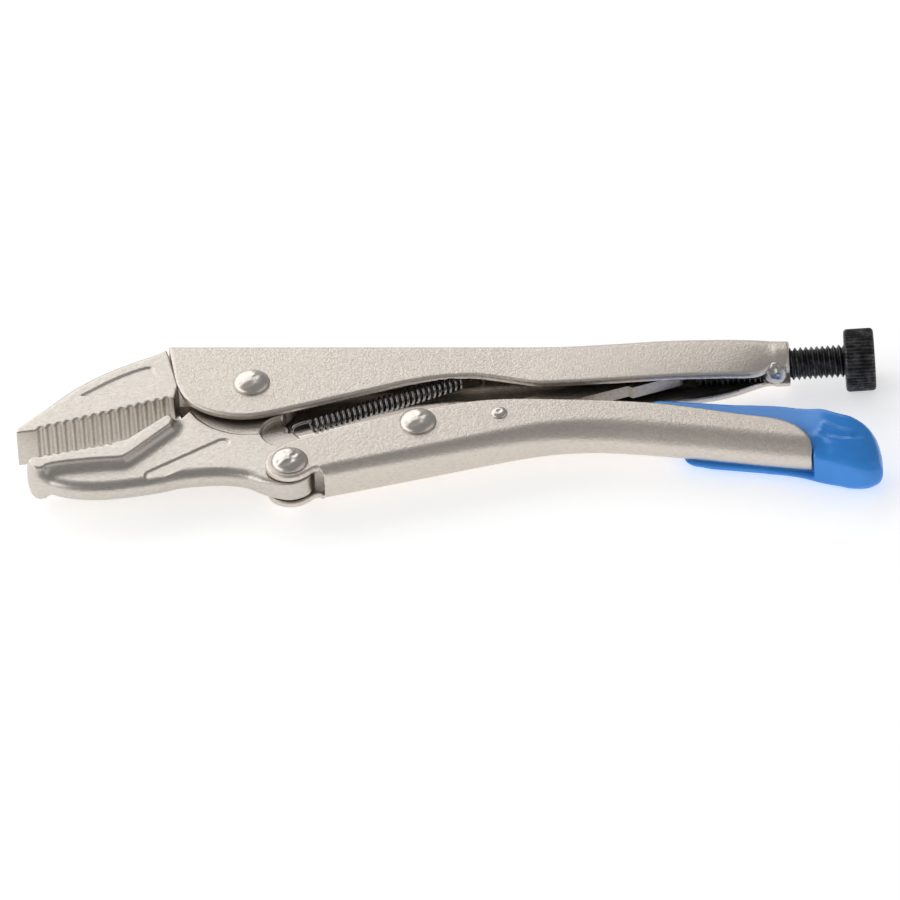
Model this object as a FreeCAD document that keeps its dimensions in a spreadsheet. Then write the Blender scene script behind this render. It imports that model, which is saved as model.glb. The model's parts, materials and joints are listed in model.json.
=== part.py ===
import FreeCAD, Part
import math
import os
import Sketcher
from FreeCAD import Placement, Rotation, Vector

# Locking pliers, 10 inch class, lying flat on one side.  Millimetres, +Z up.
# Outlines are drawn in the mechanism's own plane: its origin is the rivet that joins the lower
# jaw to the lower handle, +X runs towards the adjusting screw, +Y towards the upper handle, and
# Z = 0 is the middle of the thickness.  Each sub-part's Placement then shifts it so that the
# origin of the finished part is the bottom centre of its bounding box.

SIZES = {
    # place of the mechanism's origin in the finished part
    "shift_x": -45.63,
    "shift_y": -26.50,
    "shift_z": 9.10,
    # pivots
    "jaw_pivot_x": -13.3,
    "jaw_pivot_y": 34.7,
    "link_pivot_x": 36.1,
    "link_pivot_y": 17.3,
    "lever_pivot_x": 59.4,
    "lever_pivot_y": 21.3,
    # folded sheet handles
    "handle_width": 12.0,
    "upper_sheet": 2.2,
    "lower_sheet": 2.3,
    "bend_radius": 3.0,
    "trimmed_flange_depth": 1.0,
    "far_opening_depth": 3.0,
    # forged jaws
    "jaw_width": 12.0,
    "jaw_body_width": 6.5,
    "jaw_tenon_width": 7.5,
    "hook_recess_radius": 7.0,
    "hook_recess_depth": 2.05,
    "hook_hole_radius": 1.1,
    # link and release lever
    "link_width": 4.0,
    "lever_width": 7.0,
    "lever_sheet": 1.2,
    "grip_near_side": 3.4,
    "grip_far_side": 7.4,
    "grip_half_width": 8.2,
    "grip_wall": 2.4,
    # rivets: holes are bored this much larger than the shank
    "running_gap": 0.05,
    "seat_gap": 0.02,
    "pivot_shank_radius": 4.0,
    "pivot_head_radius": 5.2,
    "pivot_head_height": 1.8,
    "lever_shank_radius": 1.6,
    "lever_head_radius": 2.4,
    "lever_head_height": 0.9,
    "flat_head_part": 0.55,
    # adjusting screw, 3/8 inch with 16 threads to the inch
    "screw_tilt": 5.57,
    "screw_end_x": 141.8,
    "screw_end_y": 50.0,
    "thread_radius": 4.76,
    "thread_root_radius": 3.85,
    "thread_pitch": 1.5875,
    "screw_inside": 27.6,
    "screw_outside": 15.9,
    "barrel_radius": 6.7,
    "barrel_length": 13.0,
    "journal_radius": 3.6,
    "knob_radius": 9.1,
    "knob_length": 8.7,
    "knob_rib_depth": 0.45,
    "knob_bevel": 0.9,
    # tension spring
    "spring_tilt": 25.6,
    "spring_x": 4.6,
    "spring_y": 22.3,
    "spring_length": 46.5,
    "spring_radius": 2.6,
    "spring_wire_radius": 0.45,
    "spring_wire_offset": 1.85,
    "spring_tail": 6.4,
    "anchor_x": 53.0,
    "anchor_y": 46.3,
    "anchor_radius": 1.0,
    "weld_radius": 2.6,
}

TOOTH_PITCH = 2.73
TOOTH_DEPTH = 0.95
KNOB_RIBS = 52


def fill_sheet(doc):
    """Write every driving size into a cell of its own and give the cell its alias."""
    sheet = doc.addObject("Spreadsheet::Sheet", "sizes")
    for row, (alias, value) in enumerate(SIZES.items(), start=1):
        sheet.set(f"A{row}", alias)
        sheet.set(f"B{row}", str(value))
        sheet.setAlias(f"B{row}", alias)
    doc.recompute()
    return sheet


def bind(obj, prop, expression):
    """Drive one property from the sheet; words in the expression are its aliases."""
    obj.setExpression(prop, expression)


def new_body(doc, label, at=None, tilt=None):
    """Start a sub-part; `at` names the aliases of its place, `tilt` the alias of its turn."""
    body = doc.addObject("PartDesign::Body", label)
    body.Label = label
    for axis in "xyz":
        place = f"sizes.shift_{axis}"
        if at and axis != "z":
            place += f" + sizes.{at}_{axis}"
        bind(body, f"Placement.Base.{axis}", place)
    if tilt:
        body.Placement.Rotation = Rotation(Vector(0, 0, 1), SIZES[tilt])
        bind(body, "Placement.Rotation.Angle", f"sizes.{tilt}")
    return body


def new_sketch(body, name, role="XY_Plane", offset=None):
    """Attach a sketch to one of the body's own origin planes."""
    sketch = body.newObject("Sketcher::SketchObject", name)
    plane = next(item for item in body.Origin.OriginFeatures if item.Role == role)
    sketch.AttachmentSupport = [(plane, "")]
    sketch.MapMode = "FlatFace"
    if offset:
        sketch.AttachmentOffset = offset
    return sketch


def point(pair):
    return Vector(pair[0], pair[1], 0)


def draw_outline(sketch, start, steps):
    """Draw a closed outline.

    Each step is ("line", end), ("arc", middle, end) or ("curve", points to the end), and the
    outline closes with a line if it does not end where it starts.
    """
    here = start
    for step in steps:
        kind, places = step[0], step[1:]
        if kind == "line":
            sketch.addGeometry(Part.LineSegment(point(here), point(places[0])))
            here = places[0]
        elif kind == "arc":
            sketch.addGeometry(Part.Arc(point(here), point(places[0]), point(places[1])))
            here = places[1]
        else:
            spline = Part.BSplineCurve()
            spline.interpolate([point(here)] + [point(place) for place in places[0]])
            sketch.addGeometry(spline)
            here = places[0][-1]
    if math.dist(here, start) > 1e-6:
        sketch.addGeometry(Part.LineSegment(point(here), point(start)))


def outline_sketch(body, name, start, steps, role="XY_Plane", offset=None):
    sketch = new_sketch(body, name, role, offset)
    draw_outline(sketch, start, steps)
    return sketch


def circle_sketch(body, name, centre, radius, role="XY_Plane", offset=None):
    """Draw one circle whose radius is an expression on the sheet."""
    sketch = new_sketch(body, name, role, offset)
    index = sketch.addGeometry(Part.Circle(point(centre), Vector(0, 0, 1), 1.0))
    rule = sketch.addConstraint(Sketcher.Constraint("Radius", index, 1.0))
    sketch.renameConstraint(rule, "radius")
    sketch.setExpression("Constraints.radius", radius)
    return sketch


def pad(body, sketch, length, symmetric=True, reverse=False):
    feature = body.newObject("PartDesign::Pad", f"{sketch.Name}_pad")
    feature.Profile = sketch
    feature.SideType = "Symmetric" if symmetric else "One side"
    feature.Reversed = reverse
    bind(feature, "Length", length)
    sketch.Visibility = False
    return feature


def pocket(body, sketch, length, symmetric=True, reverse=False):
    """Cut a sketch out of the body and make sure that something came away."""
    body.Document.recompute()
    before = body.Shape.Volume
    feature = body.newObject("PartDesign::Pocket", f"{sketch.Name}_cut")
    feature.Profile = sketch
    feature.SideType = "Symmetric" if symmetric else "One side"
    feature.Reversed = reverse
    bind(feature, "Length", length)
    sketch.Visibility = False
    body.Document.recompute()
    if body.Shape.Volume >= before - 1e-3:
        raise RuntimeError(f"{feature.Name} cuts nothing")
    return feature


def revolve(body, sketch, kind="Revolution", axis="H_Axis"):
    body.Document.recompute()
    before = body.Shape.Volume if kind == "Groove" else None
    feature = body.newObject(f"PartDesign::{kind}", f"{sketch.Name}_{kind.lower()}")
    feature.Profile = sketch
    feature.ReferenceAxis = (sketch, [axis])
    feature.Angle = 360.0
    sketch.Visibility = False
    body.Document.recompute()
    if before is not None and body.Shape.Volume >= before - 1e-3:
        raise RuntimeError(f"{feature.Name} cuts nothing")
    return feature


def round_edges(body, radius, wanted, name):
    """Fillet the edges of the body's tip that pass the test `wanted`."""
    body.Document.recompute()
    base = body.Tip
    names = []
    for number, edge in enumerate(base.Shape.Edges, start=1):
        if wanted(edge):
            names.append(f"Edge{number}")
    if not names:
        raise RuntimeError(f"{name} finds no edge")
    fillet = body.newObject("PartDesign::Fillet", name)
    fillet.Base = (base, names)
    bind(fillet, "Radius", radius)
    body.Document.recompute()
    return fillet


def lies_on_side(edge, height, test):
    """True where all of an edge lies at +-height in Z and its middle passes the test."""
    ends = [vertex.Point for vertex in edge.Vertexes]
    flat = all(abs(abs(end.z) - height) < 0.01 for end in ends)
    same_side = len({end.z > 0 for end in ends}) == 1
    middle = edge.valueAt((edge.FirstParameter + edge.LastParameter) / 2)
    return flat and same_side and test(middle)


def serrations(first, last, inward):
    """Points of a row of teeth from `first` to `last`, valleys offset along `inward`."""
    length = math.dist(first, last)
    count = int(length / TOOTH_PITCH)
    run = ((last[0] - first[0]) / length, (last[1] - first[1]) / length)
    points = []
    for tooth in range(count):
        for share, depth in ((0.30, 1.0), (0.70, 1.0), (1.0, 0.0)):
            along = (tooth + share) * TOOTH_PITCH
            points.append((first[0] + run[0] * along + inward[0] * depth * TOOTH_DEPTH,
                           first[1] + run[1] * along + inward[1] * depth * TOOTH_DEPTH))
    return points


def as_lines(points):
    return [("line", place) for place in points]


# ---------------------------------------------------------------- upper handle and its pieces

BACK_LINE = 52.2
BARREL_TOP = 56.4


def upper_handle(doc):
    """Sheet folded into a channel that opens downwards and closes to a barrel at its end."""
    body = new_body(doc, "upper_handle")
    outline = outline_sketch(body, "upper_side", (-38.8, BACK_LINE), [
        ("line", (-35.4, 34.8)),
        ("curve", [(-32.1, 28.3), (-26.9, 23.6), (-19.4, 20.8), (-12.0, 20.8), (-3.1, 23.1)]),
        ("line", (32.2, 35.6)),
        ("curve", [(41.3, 37.7), (50.4, 38.4), (62.8, 36.4), (71.9, 34.8)]),
        ("curve", [(79.2, 35.1), (93.6, 36.4), (108.3, 38.0), (123.9, 39.2)]),
        ("curve", [(129.0, 39.4), (133.6, 40.2), (136.6, 43.4)]),
        ("line", (141.2, 44.0)),
        ("line", (140.6, BARREL_TOP - 0.2)),
        ("line", (122.0, BARREL_TOP - 0.4)),
        ("curve", [(100.0, 54.9), (84.0, 53.0), (70.0, BACK_LINE)]),
    ])
    pad(body, outline, "sizes.handle_width")
    half = SIZES["handle_width"] / 2
    round_edges(body, "sizes.bend_radius",
                lambda edge: lies_on_side(edge, half, lambda mid: mid.y > BACK_LINE - 0.5),
                "back_bends")
    sheet = SIZES["upper_sheet"]
    hollow = outline_sketch(body, "upper_hollow", (-45.0, BACK_LINE - sheet), [
        ("line", (-45.0, 10.0)),
        ("line", (127.5, 10.0)),
        ("line", (127.5, BARREL_TOP - 0.4 - sheet)),
        ("line", (122.0, BARREL_TOP - 0.4 - sheet)),
        ("curve", [(100.0, 54.9 - sheet), (84.0, 53.0 - sheet), (70.0, BACK_LINE - sheet)]),
    ])
    pocket(body, hollow, "sizes.handle_width - 2 * sizes.upper_sheet")
    along_screw = Placement(Vector(SIZES["screw_end_x"], SIZES["screw_end_y"], 0),
                            Rotation(Vector(0, 0, 1), SIZES["screw_tilt"]))
    length, radius = SIZES["barrel_length"], SIZES["barrel_radius"]
    barrel = outline_sketch(body, "barrel", (-length, 0), [
        ("line", (-length, radius)), ("line", (0, radius)), ("line", (0, 0))], offset=along_screw)
    revolve(body, barrel)
    bore = SIZES["thread_radius"] + SIZES["running_gap"]
    inner = -SIZES["screw_inside"] - 1.5
    threaded = outline_sketch(body, "barrel_bore", (inner, 0), [
        ("line", (inner, bore)), ("line", (1, bore)), ("line", (1, 0))], offset=along_screw)
    revolve(body, threaded, "Groove")
    pivot = circle_sketch(body, "pivot_hole", (SIZES["jaw_pivot_x"], SIZES["jaw_pivot_y"]),
                          "sizes.pivot_shank_radius + sizes.seat_gap")
    pocket(body, pivot, "sizes.handle_width + 2")
    anchor = circle_sketch(body, "anchor_hole", (SIZES["anchor_x"], SIZES["anchor_y"]),
                           "sizes.anchor_radius + sizes.seat_gap")
    pocket(body, anchor, "sizes.handle_width + 2")
    return body


def upper_jaw(doc):
    """Forged jaw: a full-width toothed head and a narrower tenon that fills the channel."""
    body = new_body(doc, "upper_jaw")
    tooth_start, tooth_end = (-74.2, 13.8), (-38.3, 27.3)
    teeth = serrations(tooth_start, tooth_end, (-0.352, 0.936))
    head = outline_sketch(body, "head", (-79.8, 12.4), [
        ("line", tooth_start)] + as_lines(teeth) + [
        ("line", tooth_end),
        ("line", (-36.2, 29.6)),
        ("line", (-35.45, 34.75)),
        ("line", (-38.85, BACK_LINE - 0.2)),
        ("curve", [(-40.4, 49.6), (-46.1, 46.6), (-51.7, 43.1), (-57.3, 39.3), (-62.8, 34.8),
                   (-68.3, 29.1), (-74.5, 21.0), (-79.0, 14.6)]),
        ("line", (-79.8, 13.4)),
    ])
    pad(body, head, "sizes.jaw_width")
    tenon = outline_sketch(body, "tenon", (-39.0, 49.9), [
        ("line", (-35.6, 34.9)),
        ("line", (-30.4, 34.9)),
        ("line", (-29.6, 40.0)),
        ("line", (-29.6, 49.9)),
    ])
    pad(body, tenon, "sizes.jaw_tenon_width")
    panel = outline_sketch(body, "side_panel", (-62.6, 29.2), [
        ("line", (-45.4, 41.0)),
        ("arc", (-43.6, 41.3), (-42.6, 40.0)),
        ("line", (-41.4, 35.6)),
        ("line", (-58.5, 27.6)),
    ], offset=Placement(Vector(0, 0, SIZES["jaw_width"] / 2 - 0.3), Rotation()))
    pocket(body, panel, "1 mm", symmetric=False, reverse=True)
    return body


def jaw_weld(doc):
    """Bead that fixes the jaw's tenon under the back of the channel."""
    body = new_body(doc, "jaw_weld")
    bead = outline_sketch(body, "bead", (-29.55, 49.95), [
        ("line", (-29.55, 47.6)),
        ("arc", (-28.0, 48.4), (-27.2, 49.95)),
    ])
    pad(body, bead, "sizes.jaw_body_width")
    return body


def handle_end_weld(doc):
    """Weld that closes the seam under the barrel."""
    body = new_body(doc, "handle_end_weld", at="screw_end", tilt="screw_tilt")
    radius, depth = SIZES["weld_radius"], SIZES["barrel_radius"]
    middle = -5.6
    dome = outline_sketch(body, "dome", (middle - radius, 0), [
        ("arc", (middle, 0.9), (middle + radius, 0)),
        ("line", (middle + radius, -0.5)),
        ("line", (middle - radius, -0.5)),
    ], offset=Placement(Vector(0, -depth - 0.02, 0), Rotation(Vector(1, 0, 0), 180)))
    pad(body, dome, "2 * sizes.weld_radius")
    return body


def spring_anchor(doc):
    """Cross pin in the upper handle that holds the far hook of the spring."""
    body = new_body(doc, "spring_anchor", at="anchor")
    pin = circle_sketch(body, "pin", (0, 0), "sizes.anchor_radius")
    pad(body, pin, "sizes.handle_width")
    return body


def rivet(doc, label, at, kind):
    """Rivet with a domed head above and a dome with a flat crown below."""
    body = new_body(doc, label, at=at)
    side = SIZES["handle_width"] / 2
    shank, head = SIZES[f"{kind}_shank_radius"], SIZES[f"{kind}_head_radius"]
    rise = SIZES[f"{kind}_head_height"]
    crown = head * SIZES["flat_head_part"]
    slant = (head * 0.78, rise * 0.62)
    profile = outline_sketch(body, f"{label}_profile", (0, side + rise), [
        ("arc", slant_point(slant, side), (head, side + 0.02)),
        ("line", (shank, side + 0.02)),
        ("line", (shank, -side - 0.02)),
        ("line", (head, -side - 0.02)),
        ("arc", (head * 0.9, -side - rise * 0.62), (crown, -side - rise)),
        ("line", (0, -side - rise)),
    ], role="XZ_Plane")
    revolve(body, profile, axis="V_Axis")
    return body


def slant_point(slant, side):
    return (slant[0], side + slant[1])


# ---------------------------------------------------------------- lower jaw

def lower_jaw(doc):
    """Forged jaw: a full-width toothed rim on a thinner body that ends in two pivots."""
    body = new_body(doc, "lower_jaw")
    plate = outline_sketch(body, "plate", (-75.0, 0.0), [
        ("line", (-74.6, -1.6)),
        ("curve", [(-70.9, -4.9), (-63.6, -7.7), (-54.7, -8.3), (-45.8, -7.1), (-37.0, -5.1),
                   (-30.5, -3.0), (-20.2, -2.0), (-13.0, -3.0), (-7.2, -5.6), (0.0, -7.0),
                   (5.2, -4.7), (7.0, 0.0), (5.6, 4.2), (3.4, 8.0)]),
        ("line", (2.0, 16.0)),
        ("line", (-4.4, 24.6)),
        ("arc", (-13.3, 48.1), (-26.4, 32.2)),
        ("line", (-35.2, 19.0)),
        ("line", (-38.0, 14.0)),
        ("line", (-47.0, 4.0)),
        ("line", (-56.0, 3.0)),
    ])
    pad(body, plate, "sizes.jaw_body_width")
    tooth_start, tooth_end = (-75.9, 1.0), (-49.7, 7.6)
    teeth = serrations((-73.4, 1.7), tooth_end, (0.244, -0.970))
    rim = outline_sketch(body, "rim", tooth_start, [
        ("line", (-73.4, 1.7))] + as_lines(teeth) + [
        ("line", tooth_end),
        ("line", (-47.9, 8.6)),
        ("line", (-37.0, 20.2)),
        ("arc", (-35.5, 20.2), (-35.1, 18.7)),
        ("line", (-35.6, 16.4)),
        ("line", (-46.9, 3.3)),
        ("curve", [(-49.0, 2.0), (-55.2, 1.3), (-64.0, 0.0), (-69.9, -1.6)]),
        ("line", (-71.6, -4.6)),
        ("curve", [(-74.6, -2.0), (-76.0, 0.0)]),
    ])
    pad(body, rim, "sizes.jaw_width")
    for name, centre in (("jaw_bore", (SIZES["jaw_pivot_x"], SIZES["jaw_pivot_y"])),
                         ("tail_bore", (0.0, 0.0))):
        bore = circle_sketch(body, name, centre,
                             "sizes.pivot_shank_radius + sizes.running_gap")
        pocket(body, bore, "sizes.jaw_width")
    half = SIZES["jaw_body_width"] / 2
    for name, side in (("near", 1), ("far", -1)):
        level = Placement(Vector(0, 0, side * half), Rotation())
        recess = circle_sketch(body, f"hook_recess_{name}", (-2.5, 17.0),
                               "sizes.hook_recess_radius", offset=level)
        pocket(body, recess, "sizes.hook_recess_depth", symmetric=False, reverse=side < 0)
    hook = circle_sketch(body, "hook_hole", (-1.7, 19.3), "sizes.hook_hole_radius")
    pocket(body, hook, "sizes.jaw_width")
    return body


# ---------------------------------------------------------------- lower handle and its pieces

WEB_FRONT = (10.0, -4.3)
WEB_RISE = (58.0, 9.6)
WEB_CREST = (86.0, 13.8)
WEB_FALL = (115.0, 11.0)
WEB_END = (150.3, 5.9)


def raised(place, height):
    return (place[0], place[1] + height)


def lower_handle(doc):
    """Sheet folded into a channel that opens upwards, its far flange cut away at the rear."""
    body = new_body(doc, "lower_handle")
    outline = outline_sketch(body, "lower_side", WEB_FRONT, [
        ("line", WEB_RISE),
        ("arc", WEB_CREST, WEB_FALL),
        ("line", WEB_END),
        ("curve", [(150.6, 9.0), (148.9, 12.6), (144.2, 17.2), (138.0, 19.8)]),
        ("curve", [(129.2, 21.4), (117.5, 23.9), (105.8, 26.0), (94.1, 27.1), (79.6, 27.8),
                   (59.3, 27.9), (45.0, 25.7), (30.7, 21.4)]),
        ("line", (3.1, 11.1)),
        ("curve", [(-1.8, 8.2), (-5.6, 4.6), (-7.1, 0.0), (-5.0, -5.0), (0.0, -7.1),
                   (5.0, -6.0), WEB_FRONT]),
    ])
    pad(body, outline, "sizes.handle_width")
    half = SIZES["handle_width"] / 2
    round_edges(body, "sizes.bend_radius",
                lambda edge: lies_on_side(edge, half, on_web), "web_bends")
    sheet = SIZES["lower_sheet"]
    inside = [
        ("line", (9.5, -10.0)),
        ("line", (9.5, WEB_FRONT[1] + sheet - 0.1)),
        ("line", raised(WEB_RISE, sheet)),
        ("arc", raised(WEB_CREST, sheet), raised(WEB_FALL, sheet)),
        ("line", (156.0, raised(WEB_END, sheet)[1] - 0.8)),
        ("line", (156.0, 40.0)),
        ("line", (-9.0, 40.0)),
    ]
    hollow = outline_sketch(body, "lower_hollow", (-9.0, -10.0), inside)
    pocket(body, hollow, "sizes.handle_width - 2 * sizes.lower_sheet")
    trim_far_flange(body, sheet, half)
    for name, at, kind in (("tail_hole", None, "pivot"), ("link_hole", "link_pivot", "pivot"),
                           ("lever_hole", "lever_pivot", "lever")):
        centre = (SIZES[f"{at}_x"], SIZES[f"{at}_y"]) if at else (0.0, 0.0)
        hole = circle_sketch(body, name, centre, f"sizes.{kind}_shank_radius + sizes.seat_gap")
        pocket(body, hole, "sizes.handle_width + 2")
    return body


def on_web(middle):
    """True near the outer face of the web, between its front and its end."""
    if not WEB_FRONT[0] < middle.x < WEB_END[0]:
        return False
    crest = 14.5 if WEB_RISE[0] < middle.x < WEB_FALL[0] else 11.5
    return middle.y < min(crest, -3.9 + (middle.x - WEB_FRONT[0]) * 0.30)


def trim_far_flange(body, sheet, half):
    """Cut the rear of the far flange away, which leaves the coated lever in view there."""
    start, end = 115.0, 156.0
    flange = outline_sketch(body, "far_flange", (start, -5.0), [
        ("line", (end, -5.0)), ("line", (end, 40.0)), ("line", (start, 40.0))],
        offset=Placement(Vector(0, 0, -half - 1), Rotation()))
    pocket(body, flange, "sizes.trimmed_flange_depth + 1", symmetric=False, reverse=True)
    stub = outline_sketch(body, "far_stub", (start, WEB_FALL[1] + sheet), [
        ("line", (end, WEB_END[1] + sheet - 0.8)), ("line", (end, 40.0)), ("line", (start, 40.0))],
        offset=Placement(Vector(0, 0, -half - 1), Rotation()))
    pocket(body, stub, "sizes.far_opening_depth + 1", symmetric=False, reverse=True)


def toggle_link(doc):
    """Flat bar from its rivet in the lower handle to the tip of the adjusting screw."""
    body = new_body(doc, "toggle_link")
    bar = outline_sketch(body, "bar", (37.6, 11.9), [
        ("arc", (30.5, 17.1), (34.4, 22.6)),
        ("line", (52.0, 26.8)),
        ("line", (70.0, 34.2)),
        ("line", (107.0, 48.2)),
        ("arc", (111.4, 46.6), (110.3, 42.6)),
        ("line", (97.0, 37.2)),
        ("line", (95.6, 37.9)),
        ("line", (60.0, 23.9)),
        ("line", (50.0, 19.6)),
    ])
    pad(body, bar, "sizes.link_width")
    bore = circle_sketch(body, "link_bore", (SIZES["link_pivot_x"], SIZES["link_pivot_y"]),
                         "sizes.pivot_shank_radius + sizes.running_gap")
    pocket(body, bore, "sizes.jaw_width")
    return body


LEVER_WEB = [("arc", (86.0, 16.7), (112.0, 14.4)), ("line", (150.5, 8.9)),
             ("curve", [(158.0, 6.9), (165.5, 4.7)])]


def release_lever(doc):
    """Small channel inside the lower handle with a tongue that runs into the coated tail."""
    body = new_body(doc, "release_lever")
    outline = outline_sketch(body, "lever_side", (62.0, 13.9), LEVER_WEB + [
        ("line", (165.9, 6.1)),
        ("curve", [(158.4, 8.3), (150.7, 10.3)]),
        ("line", (112.2, 15.8)),
        ("line", (109.0, 16.4)),
        ("line", (107.0, 21.0)),
        ("curve", [(96.0, 23.6), (82.0, 24.8), (70.5, 25.4)]),
        ("line", (69.0, 26.0)),
        ("line", (62.8, 24.0)),
        ("arc", (58.4, 25.3), (55.4, 21.3)),
        ("line", (56.6, 17.6)),
    ])
    pad(body, outline, "sizes.lever_width")
    inside = outline_sketch(body, "lever_hollow", (50.0, 12.0), [
        ("line", (63.4, 12.0)),
        ("line", (63.4, 24.2)),
        ("line", (68.4, 25.8)),
        ("line", (68.4, 17.0)),
        ("arc", (86.0, 18.2), (112.0, 15.8)),
        ("line", (112.0, 40.0)),
        ("line", (50.0, 40.0)),
    ])
    pocket(body, inside, "sizes.lever_width - 2 * sizes.lever_sheet")
    hole = circle_sketch(body, "lever_bore", (SIZES["lever_pivot_x"], SIZES["lever_pivot_y"]),
                         "sizes.lever_shank_radius + sizes.running_gap")
    pocket(body, hole, "sizes.handle_width + 2")
    return body


def grip_form(doc):
    """The dipped tail before the tongue's slot is taken out of it."""
    body = new_body(doc, "grip_form")
    slab = outline_sketch(body, "slab", (116.0, 11.0), [
        ("line", (151.0, 5.8)),
        ("line", (156.0, 5.2)),
        ("line", (156.0, 19.4)),
        ("curve", [(151.0, 21.8), (145.0, 24.6), (138.0, 27.0), (124.0, 29.0)]),
        ("line", (118.6, 26.0)),
    ], offset=Placement(Vector(0, 0, -SIZES["grip_far_side"]), Rotation()))
    pad(body, slab, "sizes.grip_far_side + sizes.grip_near_side", symmetric=False)
    neck = outline_sketch(body, "neck", (109.8, 16.2), [
        ("line", (120.0, 13.6)),
        ("line", (120.0, 29.3)),
        ("curve", [(110.0, 30.2), (104.0, 30.4), (101.8, 28.4)]),
        ("line", (102.6, 25.0)),
        ("line", (108.8, 22.4)),
    ])
    pad(body, neck, "2 * sizes.grip_near_side")
    paddle = outline_sketch(body, "paddle", (151.4, 4.4), [
        ("curve", [(158.0, 2.6), (163.4, 1.4), (168.0, 2.0), (170.6, 4.8), (170.9, 8.8),
                   (169.2, 12.6), (165.0, 15.8), (158.4, 18.8), (151.4, 21.6)]),
    ])
    pad(body, paddle, "2 * sizes.grip_half_width")
    carve_grip(body)
    return body


def carve_grip(body):
    """Make room for the steel web under the grip and hollow out its channel."""
    sheet = SIZES["lower_sheet"]
    room = outline_sketch(body, "web_room", (104.0, 0.0), [
        ("line", (104.0, 14.6)),
        ("line", (WEB_FALL[0], WEB_FALL[1] + sheet + 0.35)),
        ("line", (151.1, WEB_END[1] + sheet + 0.3)),
        ("line", (151.1, 0.0)),
    ], offset=Placement(Vector(0, 0, SIZES["trimmed_flange_depth"] - 6.3), Rotation()))
    pocket(body, room, "20 mm", symmetric=False, reverse=True)
    channel = outline_sketch(body, "grip_channel", (100.0, 18.6), [
        ("line", (150.0, 13.0)),
        ("curve", [(158.0, 10.2), (163.6, 9.6), (166.8, 12.0)]),
        ("line", (160.0, 40.0)),
        ("line", (100.0, 40.0)),
    ], offset=Placement(Vector(0, 0, SIZES["grip_near_side"] - SIZES["grip_wall"] + 0.8),
                        Rotation()))
    pocket(body, channel, "sizes.grip_near_side + sizes.grip_far_side - 2 * sizes.grip_wall + 0.6",
           symmetric=False)
    widening = outline_sketch(body, "paddle_channel", (153.8, 12.0), [
        ("curve", [(158.0, 10.4), (163.6, 9.8), (166.8, 12.2)]),
        ("line", (160.0, 40.0)),
        ("line", (153.8, 40.0)),
    ])
    pocket(body, widening, "2 * (sizes.grip_half_width - sizes.grip_wall)")


def lever_grip(doc, form, lever):
    """Vinyl coat: the dipped form less the steel tongue that it is moulded round."""
    cut = doc.addObject("Part::Cut", "lever_grip")
    cut.Label = "lever_grip"
    cut.Base = form
    cut.Tool = lever
    return cut


# ---------------------------------------------------------------- screw, knob and spring

def adjusting_screw(doc):
    """Threaded rod with a plain journal that carries the knob."""
    body = new_body(doc, "adjusting_screw", at="screw_end", tilt="screw_tilt")
    crest, root = SIZES["thread_radius"], SIZES["thread_root_radius"]
    pitch, tip, shoulder = SIZES["thread_pitch"], -SIZES["screw_inside"], SIZES["screw_outside"]
    journal, end = SIZES["journal_radius"], shoulder + SIZES["knob_length"] - 1.5
    steps = [("line", (tip, root - 0.6)), ("line", (tip + 0.6, root))]
    turns = int((shoulder - tip - 1.0) / pitch)
    for turn in range(turns):
        start = tip + 0.6 + turn * pitch
        for share, radius in ((0.42, crest), (0.58, crest), (1.0, root)):
            steps.append(("line", (start + share * pitch, radius)))
    steps += as_lines([(shoulder, root), (shoulder, journal), (end, journal), (end, 0)])
    rod = outline_sketch(body, "rod", (tip, 0), steps)
    revolve(body, rod)
    return body


def screw_knob(doc):
    """Knurled head: straight ribs all round, bevelled at both ends, bored for the journal."""
    body = new_body(doc, "screw_knob", at="screw_end", tilt="screw_tilt")
    radius, depth = SIZES["knob_radius"], SIZES["knob_rib_depth"]
    start, length = SIZES["screw_outside"] + 0.1, SIZES["knob_length"]
    ribs = []
    for step in range(4 * KNOB_RIBS):
        reach = radius if step % 4 < 2 else radius - depth
        angle = 2 * math.pi * (step + 0.5) / (4 * KNOB_RIBS)
        ribs.append((reach * math.cos(angle), reach * math.sin(angle)))
    face = Placement(Vector(0, 0, start), Rotation())
    knurl = outline_sketch(body, "knurl", ribs[0], as_lines(ribs[1:]), role="YZ_Plane", offset=face)
    pad(body, knurl, "sizes.knob_length", symmetric=False)
    bevel = SIZES["knob_bevel"]
    for name, edge, inward in (("front_bevel", start, 1), ("rear_bevel", start + length, -1)):
        ring = outline_sketch(body, name, (edge - inward * 0.1, radius - bevel), [
            ("line", (edge, radius - bevel)),
            ("arc", (edge + inward * bevel * 0.29, radius - bevel * 0.29),
             (edge + inward * bevel, radius)),
            ("line", (edge + inward * bevel, radius + 1)),
            ("line", (edge - inward * 0.1, radius + 1)),
        ])
        revolve(body, ring, "Groove")
    bore = SIZES["journal_radius"] + SIZES["running_gap"]
    deep = start + length - 1.5
    socket = outline_sketch(body, "journal_bore", (start - 1, 0), [
        ("line", (start - 1, bore)), ("line", (deep, bore)), ("line", (deep, 0))])
    revolve(body, socket, "Groove")
    return body


def tension_spring(doc):
    """Envelope of the close-wound coil, with a straight wire towards each hook."""
    body = new_body(doc, "tension_spring", at="spring", tilt="spring_tilt")
    coil = circle_sketch(body, "coil", (0, 0), "sizes.spring_radius", role="YZ_Plane")
    pad(body, coil, "sizes.spring_length", symmetric=False)
    wire = circle_sketch(body, "wire", (0, SIZES["spring_wire_offset"]),
                         "sizes.spring_wire_radius", role="YZ_Plane",
                         offset=Placement(Vector(0, 0, -SIZES["spring_tail"]), Rotation()))
    pad(body, wire, "sizes.spring_length + 1.7 * sizes.spring_tail", symmetric=False)
    return body


# ---------------------------------------------------------------- whole assembly

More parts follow.
